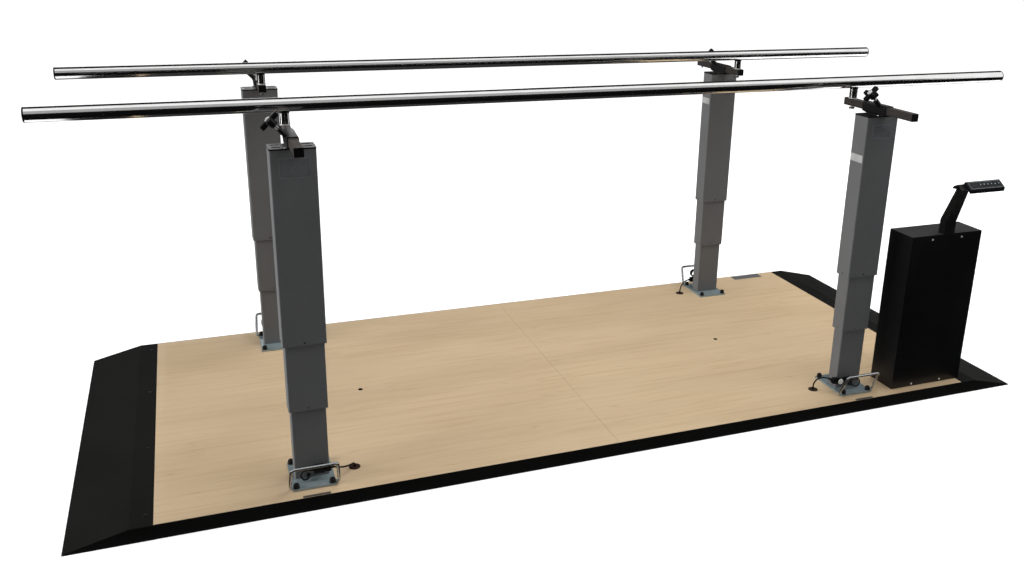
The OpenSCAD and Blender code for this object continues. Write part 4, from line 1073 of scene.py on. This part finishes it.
class BARS_OT_leads(Operator):
    """Makes the column leads with their glands, connectors and floor grommets"""
    bl_idname = "walking_bars.leads"
    bl_label = "Leads and Connectors"

    def execute(self, context):
        loops, tails = [], []
        for name, (sx, sy) in COLUMNS.items():
            matrix = at_plate(sx, sy)
            loops.append([matrix @ Vector(p) for p in (LEAD_LOOP if sy < 0 else LEAD_HANK)])
            tails.append([matrix @ Vector(p) for p in TAILS[name]] + [Vector(p) * MM for p in RUNS[name]])
        wire("column_lead_loops", loops, 5 * MM, "platform", "lead_rubber", ("column_leads",))
        wire("deck_lead_runs", tails, 5 * MM, "platform", "lead_rubber", ("deck_leads",))
        self.add_fittings()
        self.add_connector_cap()
        self.add_ties()
        self.add_grommets()
        return {"FINISHED"}

    def add_fittings(self):
        bm = bmesh.new()
        for sx, sy in COLUMNS.values():
            parts = bmesh.new()
            gland = shift(-11, LOWER_FACE, 8) @ turned(-90, "X")
            add_rod(parts, 6.6, 0.0, 3.4, 6, matrix=gland)
            add_lathe(parts, [(2.5, 3.0), (5.0, 3.0), (5.0, 5.0), (4.0, 6.6), (2.9, 7.0), (2.5, 7.0)], 32,
                      gland)
            add_rod(parts, 2.4, -3.0, 1.0, 24, matrix=gland)
            add_block(parts, (2, 36.2, 22.2), (30.5, 49.8, 45.8))
            add_block(parts, (30.8, 37.2, 24.2), (50, 48.8, 43.8))
            for step in range(4):
                x = 35.0 + 3.4 * step
                add_block(parts, (x, 36.6, 25.2), (x + 1.7, 49.4, 42.8))
            add_block(parts, (20, 39.5, 45.4), (38, 46.5, 47.2))
            add_lathe(parts, [(2.5, -7.0), (3.4, -7.0), (4.6, -1.0), (4.6, 0.5), (2.5, 0.5)], 24,
                      shift(2, 43, 34) @ turned(90, "Y"))
            add_lathe(parts, [(2.5, -0.5), (5.2, -0.5), (5.0, 1.0), (3.6, 9.0), (2.5, 9.0)], 24,
                      shift(50, 43, 33.6) @ turned(94, "Y"))
            round_edges(parts, 0.5, 2, 60.0)
            place(parts, at_plate(sx, sy))
            merge(bm, parts)
        finish_piece("glands_and_connectors", bm, "platform", "plug_plastic",
                     ("lead_fittings",))

    def add_connector_cap(self):
        """Hood of the front right connector, with a white round cap on its front."""
        foot = at_plate(1, -1)
        bm = bmesh.new()
        verts = add_block(bm, (0, -8.4, -9.6), (30.0, 6.6, 10.4))
        place(bm, shift(49.0, 41.6, 34.5) @ turned(-12, "Y"), verts)
        add_lathe(bm, [(2.5, -3.0), (5.8, -3.0), (5.8, 0.5), (4.6, 3.0), (3.2, 12.0), (2.5, 12.0)], 24,
                  shift(79.5, 35.8, 42.2) @ turned(-32, "Z") @ turned(73, "Y"))
        round_edges(bm, 1.2, 2, 60.0)
        place(bm, foot)
        finish_piece("connector_hood", bm, "platform", "plug_plastic")
        bm = bmesh.new()
        matrix = foot @ shift(50.4, 48.1, 36.0) @ turned(-90, "X")
        add_lathe(bm, [(0, 0), (9.4, 0), (9.4, 1.6), (8.6, 2.6), (6.4, 2.9), (6.0, 2.4), (0, 2.4)], 40,
                  matrix)
        turn_out(bm)
        finish_piece("connector_cap", bm, "platform", "white_cap")

    def add_ties(self):
        """Ties round the bundled leads behind the rear columns."""
        bm = bmesh.new()
        for sx in (-1, 1):
            parts = bmesh.new()
            for x in (-17.0, 17.0):
                for z in (HANK_Z - HANK_FOLD, HANK_Z + HANK_FOLD):
                    add_block(parts, (x - 1.8, HANK_OUT - TIE, z - TIE),
                              (x + 1.8, HANK_BACK + TIE, z + TIE))
            round_edges(parts, 1.2, 2)
            place(parts, at_plate(sx, 1))
            merge(bm, parts)
        finish_piece("lead_ties", bm, "platform", "plug_plastic")

    def add_grommets(self):
        bm = bmesh.new()
        for sx, sy in COLUMNS.values():
            matrix = at_column(sx, sy, True) @ shift(GROMMET_X, GROMMET_Y, DECK_TOP / MM)
            add_lathe(bm, [(2.8, -18.0), (11.0, -18.0), (11.0, -0.2), (15.6, 0.0), (16.5, 0.5), (16.3, 1.4),
                           (14.6, 2.4), (11.0, 3.0), (7.5, 3.0), (6.0, 2.0), (4.4, 1.0), (2.8, 0.8),
                           (2.8, -18.0)], 48, matrix)
        turn_out(bm)
        finish_piece("grommet_rings", bm, "platform", "grommet_rubber",
                     ("floor_grommets",), 50)


# Cabinet and handset


class BARS_OT_cabinet(Operator):
    """Finishes the control cabinet, its screws and its mains inlet"""
    bl_idname = "walking_bars.cabinet"
    bl_label = "Control Cabinet"

    def execute(self, context):
        shell = dress("cabinet_shell", "platform", "cabinet_coat", 0.0012, 3)
        # The top faces take the lighter copy of the paint, painted light on the top of the cabinet
        shell.data.materials.append(FINISHES["cabinet_paint_lit_top"])
        for face in shell.data.polygons:
            if face.normal.z > 0.9 and face.center.z > SHELL_HIGH.z - 0.001:
                face.material_index = 1
        dress("cabinet_cover", "platform", "cabinet_coat", 0.0007, 2)
        bm = bmesh.new()
        middle = (COVER_LOW.x + COVER_HIGH.x) / 2
        for x in (-0.061, 0.061):
            for z in (COVER_LOW.z + 0.009, COVER_HIGH.z - 0.015):
                matrix = in_mm(middle + x, COVER_LOW.y, z) @ turned(90, "X")
                add_cross_screw(bm, matrix, 3.5, 2.0, 1.9, 6.0)
        finish_piece("cover_screws", bm, "platform", "satin_steel", ("cabinet_screws",))
        coat("mains_inlet", "plug_plastic")
        self.add_inlet_pins()
        coat("power_unit", "folded_aluminium")
        return {"FINISHED"}

    def add_inlet_pins(self):
        low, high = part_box("mains_inlet")
        middle = (low + high) / 2
        blocks = [((middle.x + (x - 2) * MM, low.y + 3 * MM, middle.z + (z - 1) * MM),
                   (middle.x + (x + 2) * MM, low.y + 17 * MM, middle.z + (z + 1) * MM))
                  for x, z in ((-7, -2), (0, 3), (7, -2))]
        block_piece("inlet_pins", blocks, "platform", "bright_chrome", edge=0.0004)


# The handset's sloping face in millimetres, from the middle of its front edge
FACE_TILT = math.radians(35)
FACE_D = 35.0
PANEL_X0, PANEL_X1, PANEL_Y0, PANEL_Y1 = -63.0, 67.0, 3.5, 28.5
BUTTON_X = [-20.5 + 15.2 * number for number in range(6)]
BUTTON, BUTTON_GAP, BUTTON_TOP = 11.0, 0.6, 1.6


class BARS_OT_handset(Operator):
    """Finishes the bracket and makes the handset's panel, frame, display and button marks"""
    bl_idname = "walking_bars.handset"
    bl_label = "Handset"

    def execute(self, context):
        dress("handset_bracket", "platform", "bracket_coat", 0.0008, 2, 25.0)
        dress("handset_case", "platform", "handset_shell", 0.0008, 2)
        low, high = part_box("handset_case")
        edge = Vector(((low.x + high.x) / 2, low.y, high.z - FACE_D * MM * math.sin(FACE_TILT)))
        face = Matrix.Translation(edge) @ Matrix.Rotation(FACE_TILT, 4, "X") @ Matrix.Scale(MM, 4)
        self.add_panel(face)
        self.add_frame(face)
        self.add_display(face)
        for number, x in enumerate(BUTTON_X, 1):
            body = f"button_{number}"
            dress(body, body, "button_plastic", 0.0006, 3)
            self.add_mark(body, x, number % 2, face)
        return {"FINISHED"}

    def add_panel(self, face):
        """Thin panel around the buttons, with a gap round each."""
        half = BUTTON / 2 + BUTTON_GAP
        middle = FACE_D / 2
        edges = [PANEL_X0] + [x + side * half for x in BUTTON_X for side in (-1, 1)] + [PANEL_X1]
        blocks = [((left, middle - half, 0), (right, middle + half, 0.4))
                  for left, right in zip(edges[::2], edges[1::2])]
        blocks += [((PANEL_X0, PANEL_Y0, 0), (PANEL_X1, middle - half, 0.4)),
                   ((PANEL_X0, middle + half, 0), (PANEL_X1, PANEL_Y1, 0.4))]
        block_piece("handset_panel", blocks, "platform", "handset_panel", face)

    def add_frame(self, face):
        """Raised grey frame round the panel, widest along the back."""
        left, right = PANEL_X0 - 2.0, PANEL_X1 + 2.0
        blocks = [((left, 1.6, 0), (right, PANEL_Y0, 0.9)), ((left, PANEL_Y1, 0), (right, 31.3, 1.4)),
                  ((left, PANEL_Y0, 0), (PANEL_X0, PANEL_Y1, 0.9)),
                  ((PANEL_X1, PANEL_Y0, 0), (right, PANEL_Y1, 0.9))]
        block_piece("handset_frame", blocks, "platform", "handset_ridge", face, 0.35)

    def add_display(self, face):
        """Blank display at the left, in a thin frame."""
        block_piece("handset_display_frame", [((-57.0, 8.0, 0.2), (-31.0, 24.0, 0.7))], "platform",
                    "button_plastic", face, 0.3)
        block_piece("handset_display", [((-55.5, 9.5, 0.5), (-32.5, 22.5, 0.8))], "platform",
                    "handset_display", face, 0.15, 1)

    def add_mark(self, body, x, up, face):
        """Plain triangle on a button, pointing up or down the face."""
        bm = bmesh.new()
        turn = turned(90 if up else -90, "Z")
        spot = shift(x, FACE_D / 2 + (-0.5 if up else 0.5), 0)
        add_rod(bm, 2.4, BUTTON_TOP - 0.2, BUTTON_TOP + 0.15, 3, matrix=spot @ turn)
        place(bm, face)
        finish_piece(f"{body}_mark", bm, body, "button_mark")


class BARS_OT_lift_drives(Operator):
    """Finishes the drives and nuts inside the columns"""
    bl_idname = "walking_bars.lift_drives"
    bl_label = "Lift Drives"

    def execute(self, context):
        coat("lift_nuts", "machined_brass")
        for name in COLUMNS:
            coat(f"lift_drive_{name}", "cast_metal")
        return {"FINISHED"}


class BARS_PT_panel(Panel):
    """Lists the pieces of the walking bars"""
    bl_idname = "BARS_PT_panel"
    bl_label = "Walking Bars"
    bl_space_type = "VIEW_3D"
    bl_region_type = "UI"
    bl_category = "Walking Bars"

    def draw(self, context):
        bars = context.scene.walking_bars
        for title, group in (("Stage", bars.stage), ("Wood", bars.wood), ("Paint", bars.paint),
                             ("Trim", bars.trim)):
            column = self.layout.column(heading=title)
            for name in group.bl_rna.properties.keys():
                if name not in ("rna_type", "name"):
                    column.prop(group, name)
        for operator in OPERATORS:
            self.layout.operator(operator.bl_idname)


OPERATORS = (BARS_OT_stage, BARS_OT_leads, BARS_OT_deck, BARS_OT_ramps, BARS_OT_base_plates, BARS_OT_bails,
             BARS_OT_columns, BARS_OT_column_heads, BARS_OT_clamp_knobs, BARS_OT_handrails,
             BARS_OT_cabinet, BARS_OT_handset, BARS_OT_lift_drives)
CLASSES = (StageSettings, WoodSettings, PaintSettings, TrimSettings, BarsSettings, *OPERATORS, BARS_PT_panel)


def register():
    for cls in CLASSES:
        bpy.utils.register_class(cls)
    bpy.types.Scene.walking_bars = PointerProperty(type=BarsSettings)


def unregister():
    del bpy.types.Scene.walking_bars
    for cls in reversed(CLASSES):
        bpy.utils.unregister_class(cls)


def main():
    register()
    make_finishes()
    for operator in OPERATORS:
        name = operator.bl_idname.split(".")[1]
        if getattr(bpy.ops.walking_bars, name)() != {"FINISHED"}:
            raise RuntimeError(f"the {operator.bl_label} piece wasn't made")


if __name__ == "__main__":
    main()
